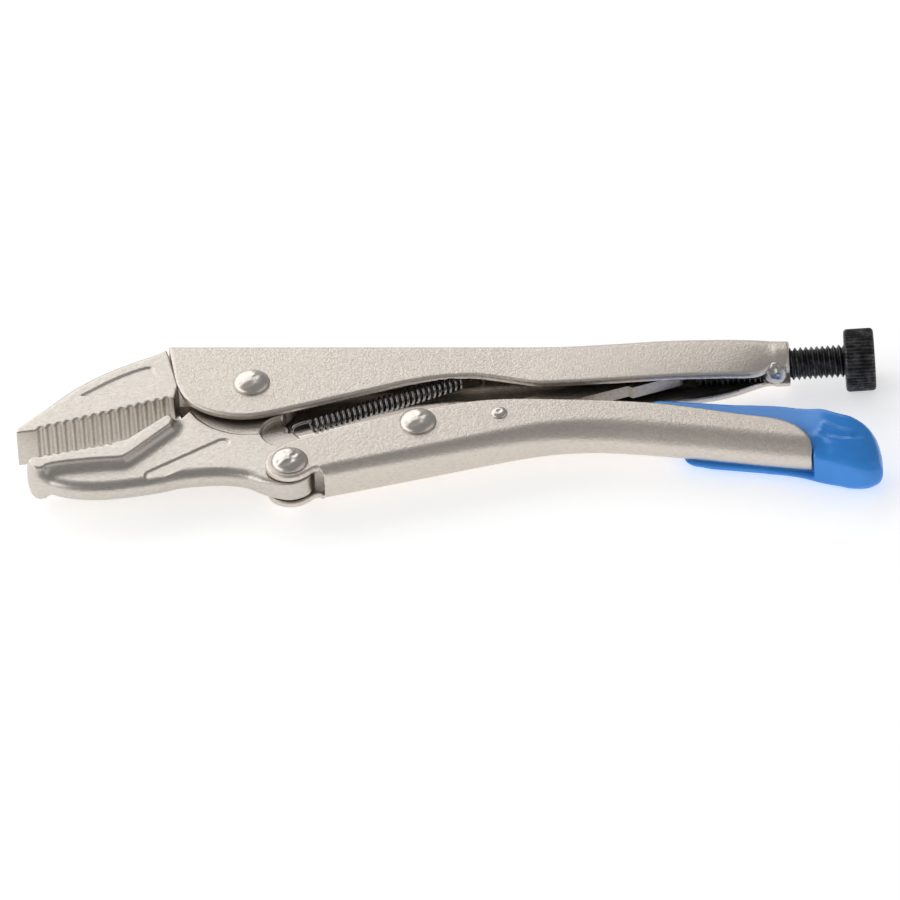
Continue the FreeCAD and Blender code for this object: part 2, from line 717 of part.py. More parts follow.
def check(doc, nodes):
    """Stop unless every object is sound and every sub-part is one or more valid solids."""
    for item in doc.Objects:
        if "Invalid" in item.State or "Error" in item.State:
            raise RuntimeError(f"{item.Name} is {item.State}")
    for node in nodes:
        shape = node.Shape
        if shape.isNull() or not shape.isValid() or not shape.Solids:
            raise RuntimeError(f"{node.Label} has no valid shape")


def export(nodes):
    os.makedirs("parts", exist_ok=True)
    for node in nodes:
        node.Shape.exportStep(f"parts/{node.Label}.step")


def report_box(nodes):
    """Print the bounding box, whose bottom centre should be the origin."""
    box = FreeCAD.BoundBox()
    for node in nodes:
        box.add(node.Shape.optimalBoundingBox(False))
        print(f"{node.Label:20s} {len(node.Shape.Solids)} solid {node.Shape.Volume:10.1f} mm3")
    print("box", [round(value, 3) for value in
                  (box.XMin, box.XMax, box.YMin, box.YMax, box.ZMin, box.ZMax)])


def main():
    doc = FreeCAD.newDocument("locking_pliers")
    fill_sheet(doc)
    lever = release_lever(doc)
    nodes = [
        upper_handle(doc), upper_jaw(doc), jaw_weld(doc), handle_end_weld(doc),
        spring_anchor(doc), rivet(doc, "jaw_pivot_rivet", "jaw_pivot", "pivot"),
        lower_jaw(doc), lower_handle(doc), rivet(doc, "handle_pivot_rivet", None, "pivot"),
        rivet(doc, "link_rivet", "link_pivot", "pivot"),
        rivet(doc, "lever_rivet", "lever_pivot", "lever"),
        toggle_link(doc), lever, lever_grip(doc, grip_form(doc), lever),
        adjusting_screw(doc), screw_knob(doc), tension_spring(doc),
    ]
    doc.recompute()
    check(doc, nodes)
    report_box(nodes)
    export(nodes)


main()
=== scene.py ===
"""Locking pliers lying flat on a pale studio floor.

Every sub-assembly is a class.  Its sizes are dataclass fields in millimetres, in the mechanism's
own plane: the origin is the rivet between the lower jaw and the lower handle, +X runs towards the
adjusting screw, +Y towards the upper handle, and z = 0 is the middle of the thickness.
"""

import json
import logging
import math
from dataclasses import dataclass
from enum import Enum
from typing import Sequence

import bpy
import numpy as np
from mathutils import Matrix, Vector, noise


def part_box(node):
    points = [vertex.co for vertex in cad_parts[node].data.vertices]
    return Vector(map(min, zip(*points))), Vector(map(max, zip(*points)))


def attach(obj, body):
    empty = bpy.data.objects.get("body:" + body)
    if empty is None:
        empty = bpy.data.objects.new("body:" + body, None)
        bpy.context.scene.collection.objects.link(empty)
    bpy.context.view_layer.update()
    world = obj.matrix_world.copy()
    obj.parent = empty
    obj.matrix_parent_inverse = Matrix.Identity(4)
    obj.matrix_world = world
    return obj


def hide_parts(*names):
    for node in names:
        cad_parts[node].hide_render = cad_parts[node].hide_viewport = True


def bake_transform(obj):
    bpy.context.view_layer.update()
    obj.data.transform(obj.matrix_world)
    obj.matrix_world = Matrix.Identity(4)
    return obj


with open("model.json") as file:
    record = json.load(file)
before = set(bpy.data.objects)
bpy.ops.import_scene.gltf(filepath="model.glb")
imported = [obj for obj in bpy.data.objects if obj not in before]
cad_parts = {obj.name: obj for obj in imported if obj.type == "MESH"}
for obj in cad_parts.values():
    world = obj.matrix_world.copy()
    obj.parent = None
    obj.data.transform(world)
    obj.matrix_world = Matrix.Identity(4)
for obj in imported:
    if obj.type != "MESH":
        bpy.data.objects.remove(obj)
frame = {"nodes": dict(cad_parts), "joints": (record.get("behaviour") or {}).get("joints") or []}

MILLIMETRE = 0.001
SHARPEST = 1e-3
Pair = tuple[float, float]
Array = np.ndarray

log = logging.getLogger("locking_pliers")


# ------------------------------------------------------------------ places read from the frame

def joint_place(name: str) -> Vector:
    """Place of a hinge in the part's frame.

    Args:
        name: The joint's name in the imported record.

    Returns:
        The point on the hinge's axis, in metres.
    """
    found = next(joint for joint in frame["joints"] if joint["name"] == name)
    return Vector(found["pos_m"])


@dataclass(frozen=True)
class Mechanism:
    """Pivots of the linkage, in millimetres from the rivet at the lower jaw's tail."""

    origin: Vector
    jaw_pivot: Pair
    link_pivot: Pair
    lever_pivot: Pair
    screw_end: Pair
    screw_tilt: float

    @classmethod
    def from_frame(cls) -> "Mechanism":
        """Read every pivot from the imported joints.

        Returns:
            The mechanism, with places relative to the lower jaw's tail rivet.
        """
        origin = joint_place("lower_handle_fold")

        def flat(name: str) -> Pair:
            """Place of a joint in the mechanism's plane."""
            gap = (joint_place(name) - origin) / MILLIMETRE
            return (gap.x, gap.y)

        travel = next(joint for joint in frame["joints"] if joint["name"] == "screw_travel")
        tilt = math.atan2(travel["axis"][1], travel["axis"][0])
        return cls(origin, flat("lower_jaw_pivot"), flat("toggle_link_pivot"),
                   flat("release_lever_pivot"), flat("knob_spin"), tilt)

    def to_part(self, points: Array) -> Array:
        """Turn millimetres in the mechanism's plane into metres in the part's frame."""
        return points * MILLIMETRE + np.array(self.origin)

    def along_screw(self, points: Array) -> Array:
        """Turn points whose x runs along the screw, from the handle's end, into part metres.

        Args:
            points: Rows of x along the axis, then y and z across it, in millimetres.

        Returns:
            The same rows in the part's frame, in metres.
        """
        turn = np.array(Matrix.Rotation(self.screw_tilt, 3, "Z"))
        moved = points @ turn.T + np.array([self.screw_end[0], self.screw_end[1], 0.0])
        return self.to_part(moved)


MECHANISM = Mechanism.from_frame()


# ------------------------------------------------------------------ outlines and solid fields

def smooth_path(points: Sequence[Pair], per_span: int = 6) -> list[Pair]:
    """Run a centripetal-like curve through the points.

    Args:
        points: Places that the curve passes through, ends included.
        per_span: Straight pieces for each span.

    Returns:
        Points along the curve, both ends included.
    """
    places = [np.array(place, float) for place in points]
    padded = [2 * places[0] - places[1]] + places + [2 * places[-1] - places[-2]]
    path: list[Pair] = []
    for index in range(1, len(padded) - 2):
        before, start, end, after = padded[index - 1:index + 3]
        for step in range(per_span):
            share = step / per_span
            spot = 0.5 * (2 * start + (end - before) * share
                          + (2 * before - 5 * start + 4 * end - after) * share ** 2
                          + (3 * start - before - 3 * end + after) * share ** 3)
            path.append((float(spot[0]), float(spot[1])))
    path.append(tuple(float(value) for value in places[-1]))
    return path


def tooth_row(start: Pair, end: Pair, pitch: float, depth: float, inward: Pair) -> list[Pair]:
    """Draw a row of rounded grooves between two points.

    Args:
        start: First point of the toothed line.
        end: Last point of the toothed line.
        pitch: Distance from one groove to the next.
        depth: Depth of a groove.
        inward: Unit direction into the metal.

    Returns:
        Points of the grooved line, both ends included.
    """
    length = math.dist(start, end)
    count = int(length / pitch)
    run = np.array([end[0] - start[0], end[1] - start[1]]) / length
    steps = 10
    points = []
    for step in range(count * steps + 1):
        along = step / steps * pitch
        share = 0.5 - 0.5 * math.cos(2 * math.pi * step / steps)
        sunk = depth * share ** 0.7
        spot = np.array(start) + run * along + np.array(inward) * sunk
        points.append((float(spot[0]), float(spot[1])))
    points.append(end)
    return points


class Grid:
    """Regular grid of sample points over a box, in millimetres."""

    def __init__(self, low: Sequence[float], high: Sequence[float], step: float) -> None:
        """Lay the grid.

        Args:
            low: Lowest corner of the box.
            high: Highest corner of the box.
            step: Distance between neighbouring samples.
        """
        self.step = step
        self.low = np.array(low, float)
        counts = [int(math.ceil((top - bottom) / step)) + 1 for bottom, top in zip(low, high)]
        axes = [bottom + step * np.arange(count) for bottom, count in zip(low, counts)]
        self.x = axes[0][:, None, None].astype(np.float32)
        self.y = axes[1][None, :, None].astype(np.float32)
        self.z = axes[2][None, None, :].astype(np.float32)

    def outline(self, points: Sequence[Pair]) -> Array:
        """Signed distance to a closed outline in the XY plane, negative inside it.

        Args:
            points: Corners of the outline in order.

        Returns:
            Distances of shape (nx, ny, 1), in millimetres.
        """
        across, along = np.meshgrid(self.x[:, 0, 0], self.y[0, :, 0], indexing="ij")
        nearest = np.full(across.shape, 1e12)
        inside = np.zeros(across.shape, bool)
        corners = np.array(points, float)
        for (ax, ay), (bx, by) in zip(corners, np.roll(corners, -1, axis=0)):
            run_x, run_y = bx - ax, by - ay
            square = run_x * run_x + run_y * run_y
            if square < 1e-12:
                continue
            share = np.clip(((across - ax) * run_x + (along - ay) * run_y) / square, 0, 1)
            gap = (across - ax - share * run_x) ** 2 + (along - ay - share * run_y) ** 2
            nearest = np.minimum(nearest, gap)
            if ay != by:
                crosses = (ay > along) != (by > along)
                inside ^= crosses & (across < (along - ay) * run_x / run_y + ax)
        distance = np.sqrt(nearest)
        return np.where(inside, -distance, distance)[:, :, None].astype(np.float32)

    def disc(self, centre: Pair, radius: float) -> Array:
        """Signed distance to a round rod along Z."""
        return np.hypot(self.x - centre[0], self.y - centre[1]) - radius

    def mesh(self, name: str, values: Array, painted_shade_amount: Array | None = None) -> bpy.types.Object:
        """Skin the surface where the field is zero.

        Args:
            name: Name of the new object.
            values: The field on this grid, negative inside the metal.
            painted_shade_amount: How far inside a fold each sample lies, from 0 outside to 1, kept as
                the share of painted shade, if that matters.

        Returns:
            A smooth-shaded mesh object in the part's frame.
        """
        spots, quads = surface_net(np.broadcast_to(values, self.shape()))
        points = MECHANISM.to_part(spots * self.step + self.low)
        obj = new_mesh(name, points, quads)
        if painted_shade_amount is not None:
            nearest = tuple(np.rint(spots).astype(int).T)
            depth = np.broadcast_to(painted_shade_amount, self.shape())[nearest]
            # store it as the inside mark, which the plated finish turns into painted shade
            mark = obj.data.attributes.new("inside", "FLOAT", "POINT")
            mark.data.foreach_set("value", np.clip(depth, 0, 1).astype(np.float32))
        return obj

    def shape(self) -> tuple[int, int, int]:
        """Number of samples along each axis."""
        return (self.x.shape[0], self.y.shape[1], self.z.shape[2])


def surface_net(values: Array) -> tuple[Array, Array]:
    """Find the zero surface of a sampled field, one point to a crossed cell.

    Args:
        values: Samples on a grid, negative inside.

    Returns:
        Points in grid units, and quads of point numbers that face outwards.
    """
    inside = values < 0
    cells = np.array(values.shape) - 1
    total = int(np.prod(cells))
    sums = np.zeros((total, 3))
    counts = np.zeros(total)
    faces: list[Array] = []
    strides = np.array([cells[1] * cells[2], cells[2], 1])
    for axis in range(3):
        first, second = (axis + 1) % 3, (axis + 2) % 3
        low = [slice(None)] * 3
        high = [slice(None)] * 3
        low[axis], high[axis] = slice(0, -1), slice(1, None)
        here, there = values[tuple(low)], values[tuple(high)]
        edge = np.argwhere(inside[tuple(low)] != inside[tuple(high)])
        start, end = here[tuple(edge.T)], there[tuple(edge.T)]
        spot = edge.astype(float)
        spot[:, axis] += start / (start - end)
        corners = []
        for side_one, side_two in ((-1, -1), (0, -1), (0, 0), (-1, 0)):
            cell = edge.copy()
            cell[:, first] += side_one
            cell[:, second] += side_two
            corners.append(cell)
        whole = np.ones(len(edge), bool)
        for cell in corners:
            whole &= ((cell >= 0) & (cell < cells)).all(axis=1)
        flat = [(cell[whole] @ strides) for cell in corners]
        for index in flat:
            counts += np.bincount(index, minlength=total)
            for part in range(3):
                sums[:, part] += np.bincount(index, spot[whole, part], minlength=total)
        quad = np.stack(flat, axis=1)
        outward = start[whole] < 0
        quad[~outward] = quad[~outward][:, ::-1]
        faces.append(quad)
    used = counts > 0
    number = np.cumsum(used) - 1
    spots = sums[used] / counts[used][:, None]
    return spots, number[np.concatenate(faces)]


def join(one: Array, two: Array, radius: float | Array = 0.0) -> Array:
    """Unite two fields.

    Args:
        one: First field, negative inside the metal.
        two: Second field on the same grid.
        radius: About the radius of the fillet where they meet.

    Returns:
        The field of the union.
    """
    radius = np.maximum(radius, SHARPEST)
    share = np.clip(0.5 + 0.5 * (two - one) / radius, 0, 1)
    return two * (1 - share) + one * share - radius * share * (1 - share)


def common(one: Array, two: Array, radius: float | Array = 0.0) -> Array:
    """Overlap of two fields, with its new edges rounded by about `radius`."""
    return -join(-one, -two, radius)


def cut(one: Array, two: Array, radius: float | Array = 0.0) -> Array:
    """First field less the second, with the new edges rounded by about `radius`."""
    return common(one, -two, radius)


def ridge(grid: Grid, path: Sequence[Pair], width: float) -> Array:
    """Raise a soft ridge along a path in the XY plane.

    Args:
        grid: Samples to work on.
        path: Points of the ridge's line.
        width: Distance at which the ridge has fallen to about a third.

    Returns:
        1 on the path, falling off to 0 beside it.
    """
    nearest = np.full((grid.x.shape[0], grid.y.shape[1], 1), 1e9)
    for (ax, ay), (bx, by) in zip(path, path[1:]):
        square = (bx - ax) ** 2 + (by - ay) ** 2
        share = np.clip(((grid.x - ax) * (bx - ax) + (grid.y - ay) * (by - ay)) / square, 0, 1)
        nearest = np.minimum(nearest, np.hypot(grid.x - ax - share * (bx - ax),
                                               grid.y - ay - share * (by - ay)))
    return np.exp(-(nearest / width) ** 2)


def rounded_box(over: Array, beside: Array, radius: Array) -> Array:
    """Distance to two faces that meet in a round bend.

    Args:
        over: How far a sample lies past the line where the first face's bend begins.
        beside: The same for the second face.
        radius: Radius of the bend.

    Returns:
        The signed distance, negative inside.
    """
    return (np.hypot(np.maximum(over, 0), np.maximum(beside, 0))
            + np.minimum(np.maximum(over, beside), 0) - radius)


def slab(grid: Grid, half: float | Array) -> Array:
    """Signed distance to a plate of that half thickness about z = 0."""
    return np.abs(grid.z) - half


def ramp(values: Array, keys: Sequence[Pair]) -> Array:
    """Interpolate smoothly between keys.

    Args:
        values: Places to look up.
        keys: Pairs of place and value, in rising order of place.

    Returns:
        The value at each place.
    """
    places, heights = zip(*keys)
    fine, curve = smooth_keys(places, heights)
    return np.interp(values, fine, curve).astype(np.float32)


def smooth_keys(places: Sequence[float], heights: Sequence[float]) -> tuple[Array, Array]:
    """Ease between keys without overshoot.

    Args:
        places: Key places in rising order.
        heights: Value at each key.

    Returns:
        Finely spaced places and their values.
    """
    fine = np.linspace(places[0], places[-1], 600)
    slopes = np.gradient(np.array(heights, float), np.array(places, float))
    spans = np.clip(np.searchsorted(places, fine, side="right") - 1, 0, len(places) - 2)
    start, end = np.array(places)[spans], np.array(places)[spans + 1]
    share = (fine - start) / (end - start)
    first, last = np.array(heights)[spans], np.array(heights)[spans + 1]
    lead, trail = slopes[spans] * (end - start), slopes[spans + 1] * (end - start)
    low, high = np.minimum(first, last), np.maximum(first, last)
    value = ((2 * share ** 3 - 3 * share ** 2 + 1) * first
             + (share ** 3 - 2 * share ** 2 + share) * lead
             + (3 * share ** 2 - 2 * share ** 3) * last
             + (share ** 3 - share ** 2) * trail)
    spare = 0.25 * (high - low)
    return fine, np.clip(value, low - spare, high + spare)


# ------------------------------------------------------------------ meshes

def new_mesh(name: str, points: Array, faces: Array | list) -> bpy.types.Object:
    """Make a smooth-shaded mesh object from points and faces.

    Args:
        name: Object name.
        points: Rows of x, y, z in metres.
        faces: Quads as an array, or a list of faces of any size.

    Returns:
        The object, linked to the scene.
    """
    data = bpy.data.meshes.new(name)
    if isinstance(faces, np.ndarray):
        data.vertices.add(len(points))
        data.vertices.foreach_set("co", np.asarray(points, np.float32).ravel())
        data.loops.add(faces.size)
        data.loops.foreach_set("vertex_index", faces.astype(np.int32).ravel())
        data.polygons.add(len(faces))
        starts = np.arange(0, faces.size, faces.shape[1], dtype=np.int32)
        data.polygons.foreach_set("loop_start", starts)
        data.update(calc_edges=True)
    else:
        data.from_pydata([tuple(point) for point in points], [], faces)
    data.validate()
    data.shade_smooth()
    obj = bpy.data.objects.new(name, data)
    bpy.context.scene.collection.objects.link(obj)
    return obj


def tube_grid(rows: int, columns: int) -> list[tuple[int, ...]]:
    """Faces of a row of rings, wrapped round and capped at both ends.

    Args:
        rows: Number of rings.
        columns: Points in each ring.

    Returns:
        Faces as tuples of point numbers.
    """
    faces: list[tuple[int, ...]] = []
    for row in range(rows - 1):
        for column in range(columns):
            beside = (column + 1) % columns
            faces.append((row * columns + column, (row + 1) * columns + column,
                          (row + 1) * columns + beside, row * columns + beside))
    faces.append(tuple(range(columns)))
    faces.append(tuple((rows - 1) * columns + column for column in reversed(range(columns))))
    return faces


def turned_out(faces: list[tuple[int, ...]]) -> list[tuple[int, ...]]:
    """Turn every face over."""
    return [face[::-1] for face in faces]


# ------------------------------------------------------------------ finishes

EVEN = (1.0, 1.0, 1.0)


class Nodes:
    """Short-hand for building one material's node tree."""

    def __init__(self, name: str) -> None:
        """Start a material with a bare Principled shader.

        Args:
            name: Name of the material.
        """
        self.material = bpy.data.materials.new(name)
        self.material.use_nodes = True
        self.tree = self.material.node_tree
        self.shader = self.tree.nodes["Principled BSDF"]
        self.place = self.tree.nodes.new("ShaderNodeTexCoord")

    def set(self, socket: str, value: float | tuple) -> None:
        """Set one input of the shader to a constant."""
        self.shader.inputs[socket].default_value = value

    def link(self, source: bpy.types.NodeSocket, target: bpy.types.NodeSocket) -> None:
        """Join two sockets."""
        self.tree.links.new(source, target)

    def scaled(self, scale: tuple[float, float, float]) -> bpy.types.NodeSocket:
        """Stretch the object's coordinates.

        Args:
            scale: Factor along each axis.

        Returns:
            The stretched coordinates.
        """
        mapping = self.tree.nodes.new("ShaderNodeMapping")
        mapping.inputs["Scale"].default_value = scale
        self.link(self.place.outputs["Object"], mapping.inputs["Vector"])
        return mapping.outputs["Vector"]

    def noise(self, vector: bpy.types.NodeSocket, scale: float, detail: float = 4.0,
              roughness: float = 0.5) -> bpy.types.NodeSocket:
        """Add a noise.

        Args:
            vector: Coordinates that it follows.
            scale: Features to the metre.
            detail: Number of finer layers.
            roughness: Strength of the finer layers.

        Returns:
            The noise, about 0.5 on average.
        """
        node = self.tree.nodes.new("ShaderNodeTexNoise")
        node.inputs["Scale"].default_value = scale
        node.inputs["Detail"].default_value = detail
        node.inputs["Roughness"].default_value = roughness
        self.link(vector, node.inputs["Vector"])
        return node.outputs["Fac"]

    def remap(self, value: bpy.types.NodeSocket, low: float, high: float,
              new_low: float, new_high: float) -> bpy.types.NodeSocket:
        """Map a range of values onto another one, clamped.

        Args:
            value: The varying value.
            low: Value that becomes `new_low`.
            high: Value that becomes `new_high`.
            new_low: Start of the new range.
            new_high: End of the new range.

        Returns:
            The mapped value.
        """
        node = self.tree.nodes.new("ShaderNodeMapRange")
        for socket, number in zip(("From Min", "From Max", "To Min", "To Max"),
                                  (low, high, new_low, new_high)):
            node.inputs[socket].default_value = number
        self.link(value, node.inputs["Value"])
        return node.outputs["Result"]

    def mix(self, share: bpy.types.NodeSocket, one: tuple, two: tuple) -> bpy.types.NodeSocket:
        """Blend two fixed colours.

        Args:
            share: 0 for the first colour, 1 for the second.
            one: First colour.
            two: Second colour.

        Returns:
            The blended colour.
        """
        node = self.tree.nodes.new("ShaderNodeMix")
        node.data_type = "RGBA"
        factor = next(socket for socket in node.inputs
                      if socket.name == "Factor" and socket.type == "VALUE")
        self.link(share, factor)
        first, second = self.colours(node)
        first.default_value = (*one, 1.0)
        second.default_value = (*two, 1.0)
        return next(socket for socket in node.outputs if socket.type == "RGBA")

    @staticmethod
    def colours(node: bpy.types.Node) -> list[bpy.types.NodeSocket]:
        """List the colour inputs of a mix node."""
        return [socket for socket in node.inputs if socket.type == "RGBA"]

    def mark(self, name: str) -> bpy.types.NodeSocket:
        """Value that the mesh carries at its points, or 0 where it carries none."""
        node = self.tree.nodes.new("ShaderNodeAttribute")
        node.attribute_name = name
        return node.outputs["Fac"]

    def blend(self, share: bpy.types.NodeSocket, one: bpy.types.NodeSocket,
              two: tuple) -> bpy.types.NodeSocket:
        """Blend from a varying colour to a fixed one.

        Args:
            share: 0 for the varying colour, 1 for the fixed one.
            one: The varying colour.
            two: The fixed colour.

        Returns:
            The blended colour.
        """
        result = self.mix(share, two, two)
        self.link(one, self.colours(result.node)[0])
        return result

    def bump(self, height: bpy.types.NodeSocket, strength: float, distance: float) -> None:
        """Add a bump on top of any bump that the shader has already.

        Args:
            height: The height's pattern, from 0 to 1.
            strength: Share of the bump that shows.
            distance: Height of the pattern, in metres.
        """
        node = self.tree.nodes.new("ShaderNodeBump")
        node.inputs["Strength"].default_value = strength
        node.inputs["Distance"].default_value = distance
        self.link(height, node.inputs["Height"])
        normal = self.shader.inputs["Normal"]
        if normal.links:
            self.link(normal.links[0].from_socket, node.inputs["Normal"])
        self.link(node.outputs["Normal"], normal)


@dataclass(frozen=True)
class PlatedSteel:
    """Nickel plate over tumbled steel: warm grey, satin, finely grained; painted shade in channels.
    """

    name: str
    light: tuple[float, float, float]
    dark: tuple[float, float, float]
    roughness: Pair
    grain_strength: float = 0.45
    grain_size: float = 0.0007
    grain_depth: float = 0.00016
    # painted shade: dark colour laid on the inner faces of folded channels, where shade falls
    painted_shade: tuple[float, float, float] = (0.10, 0.09, 0.085)

    def make(self) -> bpy.types.Material:
        """Build the material.

        Returns:
            The material, ready to assign.
        """
        nodes = Nodes(self.name)
        nodes.set("Metallic", 1.0)
        even = nodes.scaled(EVEN)
        streaks = nodes.noise(nodes.scaled((0.5, 1.0, 1.0)), 1400.0, 5.0, 0.7)
        plate = nodes.mix(nodes.remap(streaks, 0.35, 0.65, 0, 1), self.dark, self.light)
        # blend towards the painted shade where the mesh's inside mark says a face lies within a fold
        nodes.link(nodes.blend(nodes.mark("inside"), plate, self.painted_shade),
                   nodes.shader.inputs["Base Color"])
        speck = nodes.noise(even, 1 / self.grain_size, 3.0, 0.6)
        nodes.link(nodes.remap(speck, 0.3, 0.7, *self.roughness),
                   nodes.shader.inputs["Roughness"])
        nodes.bump(speck, self.grain_strength, self.grain_depth)
        return nodes.material


@dataclass(frozen=True)
class BlackOxide:
    """Burnished black steel with rubbed crests."""

    name: str = "black_oxide"
    colour: tuple[float, float, float] = (0.028, 0.028, 0.029)
    rubbed: tuple[float, float, float] = (0.17, 0.166, 0.162)

    def make(self) -> bpy.types.Material:
        """Build the material.

        Returns:
            The material, ready to assign.
        """
        nodes = Nodes(self.name)
        nodes.set("Metallic", 0.6)
        even = nodes.scaled(EVEN)
        cloud = nodes.noise(even, 420.0, 4.0, 0.6)
        nodes.link(nodes.mix(nodes.remap(cloud, 0.45, 0.75, 0, 1), self.colour, self.rubbed),
                   nodes.shader.inputs["Base Color"])
        nodes.link(nodes.remap(cloud, 0.3, 0.7, 0.28, 0.46), nodes.shader.inputs["Roughness"])
        nodes.bump(nodes.noise(even, 2500.0, 3.0), 0.2, 0.00002)
        return nodes.material


@dataclass(frozen=True)
class DippedVinyl:
    """Thick glossy plastic coat, slightly uneven from dipping."""

    name: str = "dipped_vinyl"
    colour: tuple[float, float, float] = (0.030, 0.265, 0.80)
    thin: tuple[float, float, float] = (0.042, 0.31, 0.88)

    def make(self) -> bpy.types.Material:
        """Build the material.

        Returns:
            The material, ready to assign.
        """
        nodes = Nodes(self.name)
        nodes.set("Metallic", 0.0)
        nodes.set("Specular IOR Level", 0.55)
        nodes.set("Subsurface Weight", 0.08)
        nodes.set("Subsurface Radius", (0.0006, 0.001, 0.003))
        even = nodes.scaled(EVEN)
        cloud = nodes.noise(even, 60.0, 2.0, 0.5)
        nodes.link(nodes.mix(nodes.remap(cloud, 0.35, 0.65, 0, 1), self.colour, self.thin),
                   nodes.shader.inputs["Base Color"])
        nodes.link(nodes.remap(cloud, 0.3, 0.7, 0.16, 0.24), nodes.shader.inputs["Roughness"])
        nodes.bump(nodes.noise(even, 140.0, 2.0), 0.25, 0.0004)
        return nodes.material


class Finish(Enum):
    """Named finishes of the tool."""

    SHEET = PlatedSteel("sheet_nickel", (0.76, 0.695, 0.625), (0.66, 0.605, 0.545), (0.36, 0.50), 0.7)
    FORGED = PlatedSteel("forged_nickel", (0.68, 0.63, 0.575), (0.57, 0.53, 0.48), (0.30, 0.42), 0.5)
    RIVET = PlatedSteel("rivet_nickel", (0.74, 0.69, 0.63), (0.64, 0.595, 0.545), (0.28, 0.36),
                        0.04)
    PRESSED = PlatedSteel("pressed_steel", (0.50, 0.46, 0.41), (0.36, 0.33, 0.30), (0.32, 0.46))
    WIRE = PlatedSteel("spring_wire", (0.42, 0.41, 0.41), (0.24, 0.235, 0.235), (0.18, 0.3))
    WELD = PlatedSteel("weld_nickel", (0.66, 0.65, 0.63), (0.46, 0.45, 0.44), (0.30, 0.44), 0.4,
                       0.0009, 0.00006)
    BLACK = BlackOxide()
    VINYL = DippedVinyl()


class Finishes:
    """Makes each finish once and hands it out."""

    def __init__(self) -> None:
        """Start with no material made."""
        self.made: dict[Finish, bpy.types.Material] = {}

    def dress(self, obj: bpy.types.Object, finish: Finish) -> None:
        """Give an object one finish all over.

        Args:
            obj: The object to dress.
            finish: The finish's name.
        """
        if finish not in self.made:
            self.made[finish] = finish.value.make()
        obj.data.materials.clear()
        obj.data.materials.append(self.made[finish])


FINISHES = Finishes()


def settle(obj: bpy.types.Object, body: str, slot: str, finish: Finish, *nodes: str) -> None:
    """Dress a new piece, fix it to its body and let it stand for its CAD nodes.

    Args:
        obj: The piece.
        body: Body that it rides on.
        slot: Material slot of the record; not used.
        finish: Finish all over it.
        nodes: CAD nodes that it stands for.
    """
    FINISHES.dress(obj, finish)
    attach(obj, body)
    if nodes:
        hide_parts(*nodes)
    log.info("%s: %d faces on %s", obj.name, len(obj.data.polygons), body)


# ------------------------------------------------------------------ folded handles

# where the painted shade inside a channel begins, and how quickly it deepens, in millimetres
PAINTED_SHADE_START = 0.6
PAINTED_SHADE_DEPTH = 0.8


def painted_shade_share(outer: Array, sheet: float) -> Array:
    """Tell how far a place lies inside a folded channel, which sets how much painted shade its faces
    get.

    Args:
        outer: Distance to the channel's outer face.
        sheet: Thickness of its metal.

    Returns:
        0 or less on the outside, 1 or more well inside.
    """
    return PAINTED_SHADE_START - (outer + sheet) / PAINTED_SHADE_DEPTH


